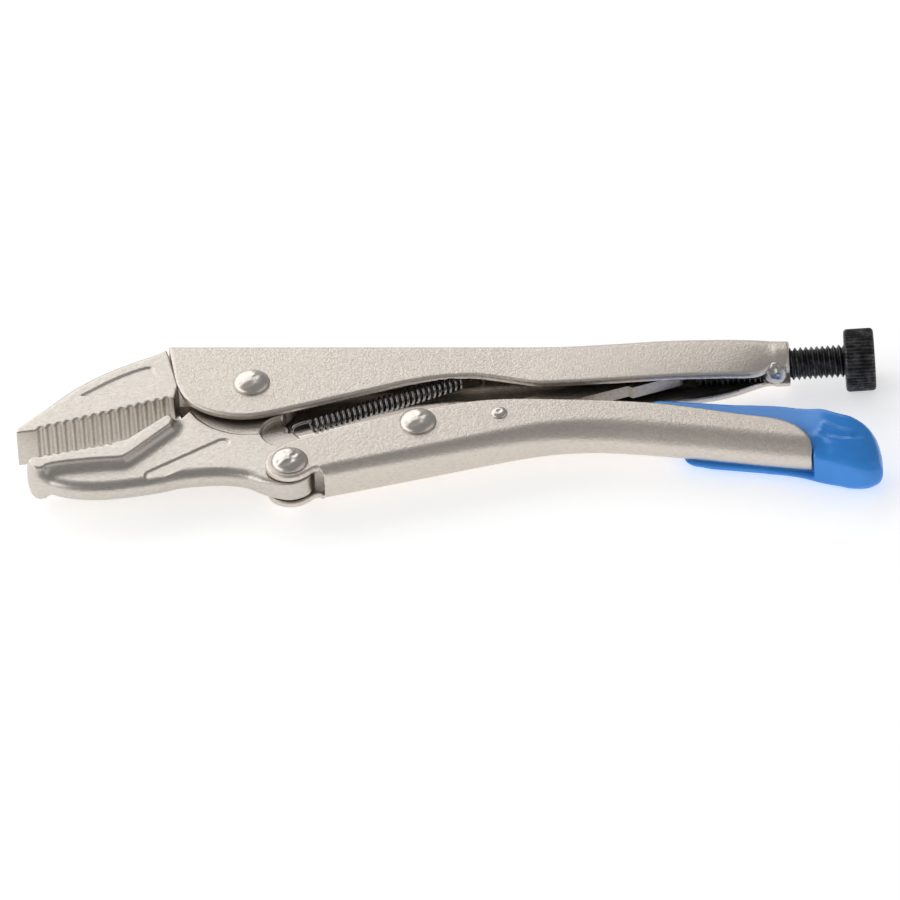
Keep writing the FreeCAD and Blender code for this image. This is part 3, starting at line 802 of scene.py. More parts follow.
@dataclass
class UpperHandle:
    """Fixed handle: one sheet folded into a channel that closes to a barrel at its end."""

    sheet: float = 2.2
    back: float = 52.2
    barrel_radius: float = 6.35
    barrel_length: float = 13.0
    straight_share: float = 0.3
    taper: float = 0.3
    barrel_round: float = 0.5
    barrel_fillet: float = 0.8
    bore_radius: float = 4.9
    bore_round: float = 0.3
    shank_radius: float = 4.0
    step: float = 0.4
    edge_round: float = 0.7
    trim_round: float = 0.4
    back_keys: tuple[Pair, ...] = ((-45, 52.2), (60, 52.2), (75, 52.4), (90, 53.6), (105, 55.2),
                                   (120, 56.1), (145, 56.6))
    top_width_keys: tuple[Pair, ...] = ((-45, 6.0), (62, 6.0), (80, 6.3), (115, 6.7), (145, 6.7))
    edge_width_keys: tuple[Pair, ...] = ((-45, 6.0), (62, 6.0), (75, 6.25), (100, 6.2),
                                         (118, 5.8), (126, 5.4), (131, 4.6), (135, 3.4),
                                         (138, 2.4), (145, 2.0))
    bend_keys: tuple[Pair, ...] = ((-45, 2.6), (60, 2.6), (85, 3.4), (115, 4.6), (130, 5.4),
                                   (140, 6.6), (146, 6.7))
    far_trim_keys: tuple[Pair, ...] = ((-45, 10.0), (96, 10.0), (108, 37.0), (114, 38.6),
                                       (121, 40.2), (127, 42.4), (133, 45.4), (146, 48.0))
    depth_of_flange: float = 17.0

    def side_outline(self) -> list[Pair]:
        """Outline of the handle seen from its side.

        Returns:
            Corners in order, in millimetres.
        """
        front = smooth_path([(-35.4, 34.8), (-32.1, 28.3), (-26.9, 23.6), (-19.4, 20.8),
                             (-12.0, 20.6), (-3.1, 23.1)])
        lower = smooth_path([(32.2, 35.6), (41.3, 37.7), (50.4, 38.4), (56.6, 37.7),
                             (62.8, 36.4), (68.9, 35.1), (73.0, 34.9), (79.2, 35.2),
                             (93.6, 36.4), (108.3, 38.0), (118.6, 38.8), (124.5, 39.3),
                             (129.0, 39.8), (132.0, 40.6), (134.6, 41.9), (137.0, 44.2)])
        return [(-38.8, 60.0)] + [(-38.8, self.back), *front, *lower, (141.4, 44.0),
                                  (141.4, 60.0)]

    def fold(self, grid: Grid) -> Array:
        """Work out the distance to the folded sheet's outer face, as if it were solid.

        Args:
            grid: Samples to work on.

        Returns:
            The signed distance.
        """
        back = ramp(grid.x, self.back_keys)
        depth = back - grid.y
        top, edge = ramp(grid.x, self.top_width_keys), ramp(grid.x, self.edge_width_keys)
        share = np.clip(depth / self.depth_of_flange, 0, 1) ** 2
        half = top + (edge - top) * share
        bend = ramp(grid.x, self.bend_keys)
        return rounded_box(bend - depth, slab(grid, half - bend), bend)

    def shell(self, grid: Grid, outer: Array) -> Array:
        """Cut the folded sheet out, its far side trimmed higher near the end.

        Args:
            grid: Samples to work on.
            outer: Distance to the sheet's outer face.

        Returns:
            The sheet without its barrel.
        """
        sheet = np.maximum(outer, -(outer + self.sheet))
        sheet = common(sheet, grid.outline(self.side_outline()), self.edge_round)
        trim = np.maximum(grid.y - ramp(grid.x, self.far_trim_keys), grid.z)
        return cut(sheet, trim, self.trim_round)

    def barrel(self, grid: Grid) -> tuple[Array, Array]:
        """Form the closed end round the screw.

        Args:
            grid: Samples to work on.

        Returns:
            The barrel, and the bore through it.
        """
        tilt = MECHANISM.screw_tilt
        end_x, end_y = MECHANISM.screw_end
        along = (grid.x - end_x) * math.cos(tilt) + (grid.y - end_y) * math.sin(tilt)
        across = -(grid.x - end_x) * math.sin(tilt) + (grid.y - end_y) * math.cos(tilt)
        radial = np.hypot(across, grid.z)
        straight = self.barrel_length * self.straight_share
        taper = self.taper * np.maximum(0.0, -along - straight)
        tube = common(radial - self.barrel_radius + taper, along, self.barrel_round)
        tube = common(tube, -along - self.barrel_length, self.barrel_round)
        return tube, radial - self.bore_radius

    def build(self) -> None:
        """Skin the handle and dress it."""
        grid = Grid((-41, 18, -8), (144, 60, 8), self.step)
        tube, bore = self.barrel(grid)
        outer = self.fold(grid)
        solid = join(self.shell(grid, outer), tube, self.barrel_fillet)
        solid = cut(solid, bore, self.bore_round)
        solid = cut(solid, grid.disc(MECHANISM.jaw_pivot, self.shank_radius))
        # the last argument gives the channel's inner faces their painted shade
        obj = grid.mesh("upper_handle_sheet", solid, painted_shade_share(outer, self.sheet))
        settle(obj, "upper_handle", "handle_steel", Finish.SHEET, "upper_handle")


@dataclass
class LowerHandle:
    """Moving handle: a channel that opens towards the upper one, with two ears at its front."""

    sheet: float = 2.3
    half_width: float = 6.0
    web_front: float = 10.0
    web_slope_share: float = 0.96
    ear_overlap: float = 0.2
    notch_round: float = 0.5
    trim_start: float = 112.6
    trim_level: float = -5.0
    shank_radius: float = 4.0
    step: float = 0.4
    edge_round: float = 0.7
    bend_keys: tuple[Pair, ...] = ((-10, 3.2), (25, 3.4), (60, 4.4), (86, 5.6), (110, 5.95),
                                   (160, 5.95))
    web_keys: tuple[Pair, ...] = ((-10, -10.1), (10, -4.3), (22, -0.83), (34, 2.65), (46, 6.1),
                                  (58, 9.5), (66, 11.6), (75, 13.2), (86, 13.8), (97, 13.2),
                                  (106, 12.1), (115, 11.0), (126, 9.4), (138, 7.65), (156, 5.1))

    def side_outline(self) -> list[Pair]:
        """Outline of the handle seen from its side.

        Returns:
            Corners in order, in millimetres.
        """
        top = smooth_path([(30.7, 21.4), (45.0, 25.6), (59.3, 27.9), (79.6, 27.8), (94.1, 27.1),
                           (105.8, 26.0), (117.5, 23.9), (129.2, 21.4), (138.0, 19.8),
                           (144.4, 17.2), (148.6, 12.9), (150.4, 8.4), (150.3, 5.4)])
        ear = smooth_path([(9.4, -3.4), (8.2, -2.7), (7.0, -3.2), (5.2, -4.9), (2.8, -6.5),
                           (0.0, -7.1), (-2.8, -6.5), (-5.2, -4.9), (-6.7, -2.4), (-7.1, 0.0),
                           (-6.6, 2.7), (-5.2, 5.0), (-1.8, 8.2), (3.1, 11.1)])
        return [*top, (149.8, 0.0), (120.0, -2.0), (30.0, -8.0), (9.8, -8.0), *ear,
                (15.1, 15.6)]

    def build(self) -> None:
        """Skin the handle and dress it."""
        grid = Grid((-9, -9, -8), (153, 30, 8), self.step)
        web, bend = ramp(grid.x, self.web_keys), ramp(grid.x, self.bend_keys)
        depth = (grid.y - web) * self.web_slope_share
        outer = rounded_box(bend - depth, slab(grid, self.half_width - bend), bend)
        ears = grid.x < self.web_front - self.ear_overlap
        outer = np.where(ears, slab(grid, self.half_width), outer)
        sheet = np.maximum(outer, -(outer + self.sheet))
        solid = common(sheet, grid.outline(self.side_outline()), self.edge_round)
        notch = np.maximum(grid.x - self.web_front, slab(grid, self.half_width - self.sheet))
        solid = cut(solid, notch, self.notch_round)
        rear = self.trim_start - grid.x
        solid = cut(solid, np.maximum(rear, grid.z - self.trim_level), self.notch_round)
        for centre in ((0.0, 0.0), MECHANISM.link_pivot):
            solid = cut(solid, grid.disc(centre, self.shank_radius))
        # the last argument gives the channel's inner faces their painted shade
        obj = grid.mesh("lower_handle_sheet", solid, painted_shade_share(outer, self.sheet))
        settle(obj, "lower_handle", "handle_steel", Finish.SHEET, "lower_handle")


# ------------------------------------------------------------------ forged jaws

@dataclass
class UpperJaw:
    """Forged fixed jaw with a toothed face and a shallow panel on each side."""

    half_width: float = 6.0
    far_extra: float = 0.7
    tooth_start: Pair = (-74.2, 13.6)
    tooth_end: Pair = (-36.0, 27.9)
    tooth_pitch: float = 2.71
    tooth_depth: float = 1.15
    into_metal: Pair = (-0.352, 0.936)
    sharp: float = 0.3
    roundest: float = 2.2
    flat_beside_teeth: float = 4.0
    rear_end: float = -37.5
    rear_run: float = 6.0
    panel_depth: float = 0.45
    panel_round: float = 0.35
    tenon_half: float = 3.7
    step: float = 0.3

    def outline(self) -> list[Pair]:
        """Outline of the head, teeth included.

        Returns:
            Corners in order, in millimetres.
        """
        teeth = tooth_row(self.tooth_start, self.tooth_end, self.tooth_pitch, self.tooth_depth,
                          self.into_metal)
        back = smooth_path([(-38.9, 49.6), (-46.1, 46.2), (-51.7, 43.0), (-57.3, 39.3),
                            (-62.8, 34.8), (-68.3, 29.1), (-74.5, 21.0), (-79.8, 14.2)])
        return [(-80.1, 12.5), *teeth, (-35.3, 28.2), (-34.7, 33.6), *back]

    def rounding(self, grid: Grid) -> Array:
        """Radius of the head's edges: crisp at the teeth and the rear, round at the back.

        Args:
            grid: Samples to work on.

        Returns:
            The radius at each place in the XY plane.
        """
        above = ((grid.y - self.tooth_start[1]) * self.into_metal[1]
                 + (grid.x - self.tooth_start[0]) * self.into_metal[0])
        growth = 0.3 * (above - self.flat_beside_teeth)
        radius = np.clip(self.sharp + growth, self.sharp, self.roundest)
        return radius * np.clip((self.rear_end - grid.x) / self.rear_run, 0.1, 1.0)

    def build(self) -> None:
        """Skin the jaw and dress it."""
        grid = Grid((-82, 10, -7), (-27, 53, 7), self.step)
        sides = np.abs(grid.z + self.far_extra / 2) - self.half_width - self.far_extra / 2
        head = common(grid.outline(self.outline()), sides, self.rounding(grid))
        panel = smooth_path([(-62.4, 29.0), (-53.0, 36.6), (-44.2, 41.6), (-42.0, 39.6),
                             (-41.0, 35.0), (-51.0, 30.8)], 4)
        sunk = np.maximum(grid.outline(panel), -slab(grid, self.half_width - self.panel_depth))
        head = cut(head, sunk, self.panel_round)
        tenon_shape = [(-39.5, 49.8), (-36.2, 34.9), (-30.4, 34.9), (-29.6, 40.0), (-29.6, 49.8)]
        tenon = np.maximum(grid.outline(tenon_shape), slab(grid, self.tenon_half))
        obj = grid.mesh("upper_jaw_forging", join(head, tenon, self.sharp))
        settle(obj, "upper_handle", "jaw_steel", Finish.FORGED, "upper_jaw")


@dataclass
class LowerJaw:
    """Forged moving jaw: toothed rim, thinner body, two pivots and the spring's recess."""

    rim_half: float = 6.0
    rim_round: float = 0.5
    body_half: float = 3.25
    body_round: float = 0.6
    belly_round: float = 2.6
    cheek_radius: float = 13.4
    tooth_start: Pair = (-73.4, 2.5)
    tooth_end: Pair = (-49.9, 9.2)
    tooth_pitch: float = 2.6
    tooth_depth: float = 0.95
    into_metal: Pair = (0.274, -0.962)
    shank_radius: float = 4.05
    recess_centre: Pair = (-2.5, 17.0)
    recess_radius: float = 7.0
    recess_half: float = 1.2
    recess_round: float = 0.5
    hook_hole: Pair = (-1.7, 19.3)
    hook_hole_radius: float = 1.1
    rim_fillet: float = 3.8
    boss_radius: float = 19.6
    boss_half: float = 2.8
    slot_start: Pair = (-39.6, -3.0)
    slot_end: Pair = (-20.2, 10.9)
    slot_half: float = 2.1
    slot_depth: float = 0.4
    slot_round: float = 0.4
    hole_round: float = 0.3
    step: float = 0.32

    def slot(self, grid: Grid) -> Array:
        """Draw the long shallow recess pressed into each side of the body.

        Args:
            grid: Samples to work on.

        Returns:
            Signed distance to its round-ended outline.
        """
        run_x, run_y = self.slot_end[0] - self.slot_start[0], self.slot_end[1] - self.slot_start[1]
        square = run_x ** 2 + run_y ** 2
        off_x, off_y = grid.x - self.slot_start[0], grid.y - self.slot_start[1]
        share = np.clip((off_x * run_x + off_y * run_y) / square, 0, 1)
        return np.hypot(off_x - share * run_x, off_y - share * run_y) - self.slot_half

    def body_outline(self) -> list[Pair]:
        """Outline of the body between the rim and the two pivots.

        Returns:
            Corners in order, in millimetres.
        """
        belly = smooth_path([(-74.6, -1.6), (-70.9, -4.9), (-63.6, -7.7), (-54.7, -8.3),
                             (-45.8, -7.1), (-37.0, -5.1), (-30.5, -3.0), (-20.2, -2.0),
                             (-13.0, -3.0), (-7.2, -5.6), (0.0, -7.0), (5.2, -4.7), (7.0, 0.0),
                             (5.6, 4.2), (3.4, 8.0)])
        pivot_x, pivot_y = MECHANISM.jaw_pivot
        cheek = [(pivot_x + self.cheek_radius * math.cos(math.radians(angle)),
                  pivot_y + self.cheek_radius * math.sin(math.radians(angle)))
                 for angle in range(-40, 200, 10)]
        return [*belly, (1.9, 15.9), (-4.1, 22.8), *cheek, (-35.2, 19.0), (-47.0, 4.0),
                (-56.0, 3.0), (-75.0, 0.0)]

    def rim_outline(self) -> list[Pair]:
        """Outline of the full-width rim with its teeth.

        Returns:
            Corners in order, in millimetres.
        """
        teeth = tooth_row(self.tooth_start, self.tooth_end, self.tooth_pitch, self.tooth_depth,
                          self.into_metal)
        under = smooth_path([(-35.6, 16.4), (-38.1, 13.5), (-42.7, 8.1), (-46.9, 3.4),
                             (-49.0, 2.0), (-55.2, 1.4), (-64.0, 0.2), (-69.6, -1.2),
                             (-71.0, -2.7)])
        nose = smooth_path([(-71.0, -2.7), (-73.2, -2.9), (-74.8, -1.5), (-75.6, 0.4)])
        return [(-75.2, 1.4), *teeth, (-48.0, 9.8), (-37.2, 20.4), (-36.0, 20.6), (-35.1, 18.9),
                *under, *nose]

    def build(self) -> None:
        """Skin the jaw and dress it."""
        grid = Grid((-78, -10, -7), (10, 50, 7), self.step)
        belly = np.clip((6.0 - grid.y) / 6.0, 0, 1) * np.clip(-grid.x / 12.0, 0, 1)
        body = common(grid.outline(self.body_outline()), slab(grid, self.body_half),
                      self.body_round + self.belly_round * belly)
        rim = common(grid.outline(self.rim_outline()), slab(grid, self.rim_half), self.rim_round)
        solid = join(body, rim, self.rim_fillet)
        boss = grid.disc(MECHANISM.jaw_pivot, self.boss_radius)
        recess = grid.disc(self.recess_centre, self.recess_radius)
        for shape, half, radius in (
                (boss, self.boss_half, self.hole_round),
                (self.slot(grid), self.body_half - self.slot_depth, self.slot_round),
                (recess, self.recess_half, self.recess_round)):
            solid = cut(solid, np.maximum(shape, -slab(grid, half)), radius)
        hole = grid.disc(self.hook_hole, self.hook_hole_radius)
        solid = cut(solid, hole, self.hole_round)
        for centre in ((0.0, 0.0), MECHANISM.jaw_pivot):
            solid = cut(solid, grid.disc(centre, self.shank_radius))
        obj = grid.mesh("lower_jaw_forging", solid)
        settle(obj, "lower_jaw", "jaw_steel", Finish.FORGED, "lower_jaw")


@dataclass
class EndWeld:
    """Rounded bead that closes the seam under the barrel, with a crater in its middle."""

    middle: Pair = (-4.2, -5.3)
    reach: tuple[float, float, float] = (3.4, 2.5, 3.5)
    rise: float = 1.5
    unevenness: float = 0.16
    crater_place: tuple[float, float, float] = (-0.5, -2.0, 2.8)
    crater_radius: float = 1.0
    crater_round: float = 1.2
    room: Pair = (4.4, 3.4)
    step: float = 0.22

    def centre(self) -> Pair:
        """Middle of the bead in the mechanism's plane."""
        turn = complex(math.cos(MECHANISM.screw_tilt), math.sin(MECHANISM.screw_tilt))
        spot = complex(*MECHANISM.screw_end) + complex(*self.middle) * turn
        return (spot.real, spot.imag)

    def build(self) -> None:
        """Skin the bead and dress it."""
        centre_x, centre_y = self.centre()
        grid = Grid((centre_x - self.room[0], centre_y - self.room[1], -4.0),
                    (centre_x + self.room[0], centre_y + self.room[1], 6.0), self.step)
        off_x, off_y, off_z = grid.x - centre_x, grid.y - centre_y, grid.z - self.rise
        shape = np.sqrt((off_x / self.reach[0]) ** 2 + (off_y / self.reach[1]) ** 2
                        + (off_z / self.reach[2]) ** 2)
        waves = (np.sin(1.9 * off_x + 0.8 * off_z) * np.cos(1.5 * off_z - 0.7)
                 + 0.5 * np.sin(2.3 * off_z + 2.1 + off_y))
        hole_x, hole_y, hole_z = self.crater_place
        crater = np.hypot(np.hypot(off_x - hole_x, off_y - hole_y), off_z - hole_z)
        crater = crater - self.crater_radius
        solid = (shape - 1) * self.reach[1] + self.unevenness * waves
        obj = grid.mesh("end_weld_bead", cut(solid, crater, self.crater_round))
        settle(obj, "upper_handle", "weld_metal", Finish.WELD, "handle_end_weld")


@dataclass
class SpringPin:
    """Cross pin whose ends are dressed flush inside the upper handle's sides."""

    radius: float = 1.0
    half: float = 5.2
    sides: int = 24

    def build(self) -> None:
        """Make the pin where the CAD pin stands and dress it."""
        low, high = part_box("spring_anchor")
        middle = (low + high) / 2
        points = []
        for height in (-self.half, self.half):
            for step in range(self.sides):
                angle = 2 * math.pi * step / self.sides
                points.append((middle.x + MILLIMETRE * self.radius * math.cos(angle),
                               middle.y + MILLIMETRE * self.radius * math.sin(angle),
                               middle.z + MILLIMETRE * height))
        obj = new_mesh("spring_pin", np.array(points),
                       turned_out(tube_grid(2, self.sides)))
        settle(obj, "upper_handle", "rivet_steel", Finish.RIVET, "spring_anchor")


# ------------------------------------------------------------------ link, lever and grip

@dataclass
class ReleaseLever:
    """Release lever's coated tail: a soft channel whose near wall flares out to a paddle."""

    wall: float = 2.2
    near_keys: tuple[Pair, ...] = ((96, 3.4), (132, 3.6), (140, 4.2), (148, 5.6), (153, 7.4),
                                   (158, 8.0), (163, 7.8), (167, 6.8), (170, 5.4), (172, 4.2))
    near_foot: float = 2.9
    lean: float = 1.1
    channel_round: float = 1.0
    handle_gap: float = 0.35
    handle_end: float = 150.8
    far_room: float = 5.3
    room_round: float = 0.4
    far_keys: tuple[Pair, ...] = ((96, 3.4), (111, 3.4), (114, 6.4), (119, 7.3), (150, 7.5),
                                  (156, 8.0), (167, 8.0), (172, 7.0))
    top_keys: tuple[Pair, ...] = ((100, 30.4), (124, 29.0), (138, 27.0), (145, 24.6),
                                  (152, 22.8), (159, 20.2), (165, 17.8), (169, 14.6), (172, 11.0))
    foot_keys: tuple[Pair, ...] = ((100, 14.0), (116, 11.0), (130, 8.9), (142, 7.0), (150, 5.6),
                                   (157, 3.4), (163, 1.7), (168, 2.2), (172, 3.4))
    floor_keys: tuple[Pair, ...] = ((100, 18.2), (130, 15.4), (150, 11.8), (158, 10.6),
                                    (162, 11.6), (165, 14.4), (167.5, 18.6), (172, 30.0))
    step: float = 0.4

    def outline(self) -> list[Pair]:
        """Outline of the coat seen from its side, the steel's room included.

        Returns:
            Corners in order, in millimetres.
        """
        return smooth_path([(102.8, 24.6), (109.2, 20.0), (110.4, 14.4), (116.0, 12.0),
                            (127.5, 10.4), (136.6, 9.2), (145.7, 7.4), (154.8, 4.6),
                            (163.4, 1.9), (167.6, 1.8), (170.6, 3.4), (170.8, 6.0),
                            (170.2, 10.0), (168.6, 14.2), (165.8, 17.2), (162.0, 19.0),
                            (156.5, 21.0), (151.0, 23.3), (146.0, 25.2), (138.0, 27.6),
                            (124.0, 29.0), (110.0, 30.2),
                            (104.4, 30.4), (101.8, 28.4), (102.8, 24.6)])

    def near_side(self, grid: Grid) -> Array:
        """Shape the near wall's outer face, which leans outwards behind the steel.

        Args:
            grid: Samples to work on.

        Returns:
            Height of the face at each place in the XY plane.
        """
        top, foot = ramp(grid.x, self.top_keys), ramp(grid.x, self.foot_keys)
        down = np.clip((top - grid.y) / (top - foot), 0, 1)
        edge = ramp(grid.x, self.near_keys)
        return edge + (self.near_foot - edge) * down ** self.lean

    def wrinkles(self, grid: Grid) -> Array:
        """Raise the soft folds that the coat keeps where the wall begins to flare.

        Args:
            grid: Samples to work on.

        Returns:
            Height of the folds, 0 on the far side.
        """
        long_fold = [(152.2, 13.4), (155.2, 10.9), (159.0, 9.6), (164.6, 9.4)]
        short_fold = [(153.4, 16.0), (157.0, 13.6), (161.5, 12.0)]
        valley = [(153.6, 11.4), (154.8, 7.4)]
        folds = (0.9 * ridge(grid, long_fold, 1.1) + 0.7 * ridge(grid, short_fold, 1.0)
                 - 0.35 * ridge(grid, valley, 1.6))
        return folds * (grid.z > 0)

    def build(self) -> None:
        """Skin the coat and dress it."""
        grid = Grid((100, -1, -10), (173, 32, 10), self.step)
        near, far = self.near_side(grid), ramp(grid.x, self.far_keys)
        sides = np.maximum(grid.z - near - self.wrinkles(grid), -grid.z - far)
        rounding = (1.6 + 1.2 * np.clip((grid.x - 152.0) / 6.0, 0, 1)
                    + 2.6 * np.clip((grid.x - 161.0) / 7.0, 0, 1))
        solid = common(grid.outline(self.outline()), sides, rounding)
        web = ramp(grid.x, LowerHandle.web_keys) + LowerHandle.sheet + self.handle_gap
        room = np.maximum(np.maximum(grid.y - web, grid.x - self.handle_end),
                          -self.far_room - grid.z)
        solid = cut(solid, room, self.room_round)
        channel = np.maximum(ramp(grid.x, self.floor_keys) - grid.y,
                             np.maximum(grid.z - near + self.wall, -grid.z - far + self.wall))
        solid = cut(solid, channel, self.channel_round)
        obj = grid.mesh("lever_grip_coat", solid)
        settle(obj, "release_lever", "grip_vinyl", Finish.VINYL, "lever_grip")


# ------------------------------------------------------------------ rivets

@dataclass
class RivetHead:
    """One rivet: two domes and the shank between them."""

    name: str
    node: str
    body: str
    centre: Pair
    shank: float
    head: float
    rise: float
    hammered: float = 0.0
    dimple: float = 0.0
    side: float = 6.0
    skin: float = 0.02
    fullness: float = 0.9
    rings: int = 14
    columns: int = 72

    def dome(self, ring: int) -> Pair:
        """Radius and height of a dome's ring, counted from its foot."""
        angle = math.radians(ring * 90 / self.rings)
        rise = self.skin + self.rise * math.sin(angle) ** self.fullness
        return (self.head * math.cos(angle), self.side + rise)

    def profile(self) -> list[Pair]:
        """Radius and height of the rivet from its upper to its lower pole.

        Returns:
            Rows of radius and height.
        """
        upper = [self.dome(ring) for ring in reversed(range(self.rings))]
        foot = [(self.head * 0.995, self.side - self.skin),
                (self.shank, self.side - 1.5 * self.skin)]
        half = upper + foot
        lower = [(reach, -height) for reach, height in reversed(half)]
        return half + lower[:-1]

    def build(self) -> None:
        """Turn the profile and dress it."""
        rows = self.profile()
        points = []
        smooth_rim = self.head * 0.93
        dimple_radius = 0.28 * self.head
        for reach, height in rows:
            for column in range(self.columns):
                angle = 2 * math.pi * column / self.columns
                across, along = reach * math.cos(angle), reach * math.sin(angle)
                rise = height
                if height > self.side and reach < smooth_rim:
                    spot = Vector((across * 0.62, along * 0.62, 3.7))
                    rise += self.hammered * (1 - reach / self.head) * noise.noise(spot)
                    rise -= self.dimple * math.exp(-(reach / dimple_radius) ** 2)
                points.append((self.centre[0] + across, self.centre[1] + along, rise))
        obj = new_mesh(self.name, MECHANISM.to_part(np.array(points)),
                       turned_out(tube_grid(len(rows), self.columns)))
        settle(obj, self.body, "rivet_steel", Finish.RIVET, self.node)


# ------------------------------------------------------------------ screw, knob and spring

@dataclass
class AdjustingScrew:
    """Threaded rod with a real helix, and its knurled knob."""

    crest: float = 4.76
    root: float = 3.85
    pitch: float = 1.5875
    inside: float = 27.6
    outside: float = 15.9
    knob_radius: float = 9.1
    knob_length: float = 8.7
    ribs: int = 52
    rib_depth: float = 0.5
    bevel: float = 1.1

    def thread_radius(self, along: float, angle: float) -> float:
        """Radius of the thread's flank, crest or root.

        Args:
            along: Place along the rod, in millimetres.
            angle: Place round it, in radians.

        Returns:
            The radius there, in millimetres.
        """
        turn = (along / self.pitch - angle / (2 * math.pi)) % 1.0
        rise = min(max(abs(turn - 0.5) * 2.6 - 0.18, 0.0), 1.0)
        return self.crest - (self.crest - self.root) * (1.0 - rise)

    def rod(self) -> None:
        """Make the threaded rod."""
        columns, per_pitch = 64, 12
        rows = int((self.inside + self.outside) / self.pitch * per_pitch)
        points = []
        for row in range(rows + 1):
            along = -self.inside + (self.inside + self.outside) * row / rows
            for column in range(columns):
                angle = 2 * math.pi * column / columns
                reach = self.thread_radius(along, angle)
                reach = min(reach, self.root - 0.5 + (along + self.inside) * 1.2)
                points.append((along, reach * math.cos(angle), reach * math.sin(angle)))
        obj = new_mesh("adjusting_screw_thread", MECHANISM.along_screw(np.array(points)),
                       turned_out(tube_grid(rows + 1, columns)))
        settle(obj, "adjusting_screw", "screw_black", Finish.BLACK, "adjusting_screw")

    def knob(self) -> None:
        """Make the knurled knob with rounded shoulders."""
        columns = self.ribs * 8
        start = self.outside + 0.1
        rows: list[tuple[float, float, float]] = [(0.0, 4.2, 0.0), (0.0, 6.0, 0.0)]
        for step in range(7):
            angle = math.radians(90 * step / 6)
            rows.append((self.bevel * (1 - math.cos(angle)),
                         self.knob_radius - self.bevel * (1 - math.sin(angle)), step / 6))
        back = [(self.knob_length - along, reach, share) for along, reach, share in rows[::-1]]
        middle = [(self.knob_length * share, self.knob_radius, 1.0) for share in (0.3, 0.5, 0.7)]
        points = []
        for along, reach, share in rows + middle + back:
            for column in range(columns):
                angle = 2 * math.pi * column / columns
                wave = 0.5 - 0.5 * math.cos(2 * math.pi * self.ribs * column / columns)
                sunk = self.rib_depth * wave ** 1.4 * share
                points.append((start + along, (reach - sunk) * math.cos(angle),
                               (reach - sunk) * math.sin(angle)))
        count = len(rows) + len(middle) + len(back)
        obj = new_mesh("screw_knob_knurl", MECHANISM.along_screw(np.array(points)),
                       turned_out(tube_grid(count, columns)))
        settle(obj, "screw_knob", "screw_black", Finish.BLACK, "screw_knob")

    def build(self) -> None:
        """Make the rod and the knob."""
        self.rod()
        self.knob()


@dataclass
class TensionSpring:
    """Close-wound spring from the lower jaw's hook hole to the pin in the upper handle."""

    wire: float = 0.44
    coil: float = 2.15
    pitch: float = 1.66
    start: Pair = (4.6, 22.3)
    tilt: float = math.radians(25.6)
    turns: int = 28
    per_turn: int = 22
    sides: int = 10

    def path(self) -> list[tuple[float, float, float]]:
        """Centre line of the wire: hook, coil, hook, with x along the spring.

        Returns:
            Points in order, in millimetres.
        """
        length = self.turns * self.pitch
        places = [(-5.6, 0.3, -1.6), (-5.9, 0.3, 0.4), (-5.3, 0.2, 1.8), (-3.6, 0.0, 2.3),
                  (-1.4, 0.0, 2.25)]
        for step in range(self.turns * self.per_turn + 1):
            angle = math.pi / 2 - 2 * math.pi * step / self.per_turn
            along = length * step / (self.turns * self.per_turn)
            places.append((along, self.coil * math.cos(angle), self.coil * math.sin(angle)))
        places += [(length + 1.0, 0.0, 2.1), (length + 2.4, 0.0, 1.7), (length + 3.6, 0.0, 0.4),
                   (length + 3.4, 0.0, -0.9)]
        return places

    def build(self) -> None:
        """Sweep the wire and dress it."""
        centre = [Vector(place) for place in self.path()]
        points = []
        side = Vector((0.0, 1.0, 0.0))
        for index, spot in enumerate(centre):
            ahead = centre[min(index + 1, len(centre) - 1)]
            behind = centre[max(index - 1, 0)]
            run = (ahead - behind).normalized()
            side = (side - run * side.dot(run)).normalized()
            other = run.cross(side)
            for column in range(self.sides):
                angle = 2 * math.pi * column / self.sides
                points.append(spot + self.wire * (side * math.cos(angle)
                                                  + other * math.sin(angle)))
        turn = np.array(Matrix.Rotation(self.tilt, 3, "Z"))
        moved = np.array([tuple(point) for point in points]) @ turn.T
        moved += np.array([self.start[0], self.start[1], 0.0])
        obj = new_mesh("tension_spring_wire", MECHANISM.to_part(moved),
                       tube_grid(len(centre), self.sides))
        FINISHES.dress(obj, Finish.WIRE)
        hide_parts("tension_spring")
        self.spot(-2.0)
        self.spot(self.turns * self.pitch + 2.0)
        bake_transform(obj)
        log.info("%s: %d faces", obj.name, len(obj.data.polygons))

    def spot(self, along: float) -> tuple[float, float, float]:
        """Find a point of the spring's axis.

        Args:
            along: Distance from the first turn, in millimetres.

        Returns:
            The point in the part's frame, in metres.
        """
        local = np.array([self.start[0] + along * math.cos(self.tilt),
                          self.start[1] + along * math.sin(self.tilt), 0.0])
        return tuple(MECHANISM.to_part(local))


# ------------------------------------------------------------------ carried-over nodes

CARRIED = {
    "jaw_weld": Finish.WELD,
    "toggle_link": Finish.PRESSED,
    "release_lever": Finish.PRESSED,
}


def dress_carried_nodes() -> None:
    """Give the nodes that keep their CAD shape their finishes."""
    for node, finish in CARRIED.items():
        FINISHES.dress(frame["nodes"][node], finish)
        log.info("%s keeps its shape", node)


# ------------------------------------------------------------------ studio

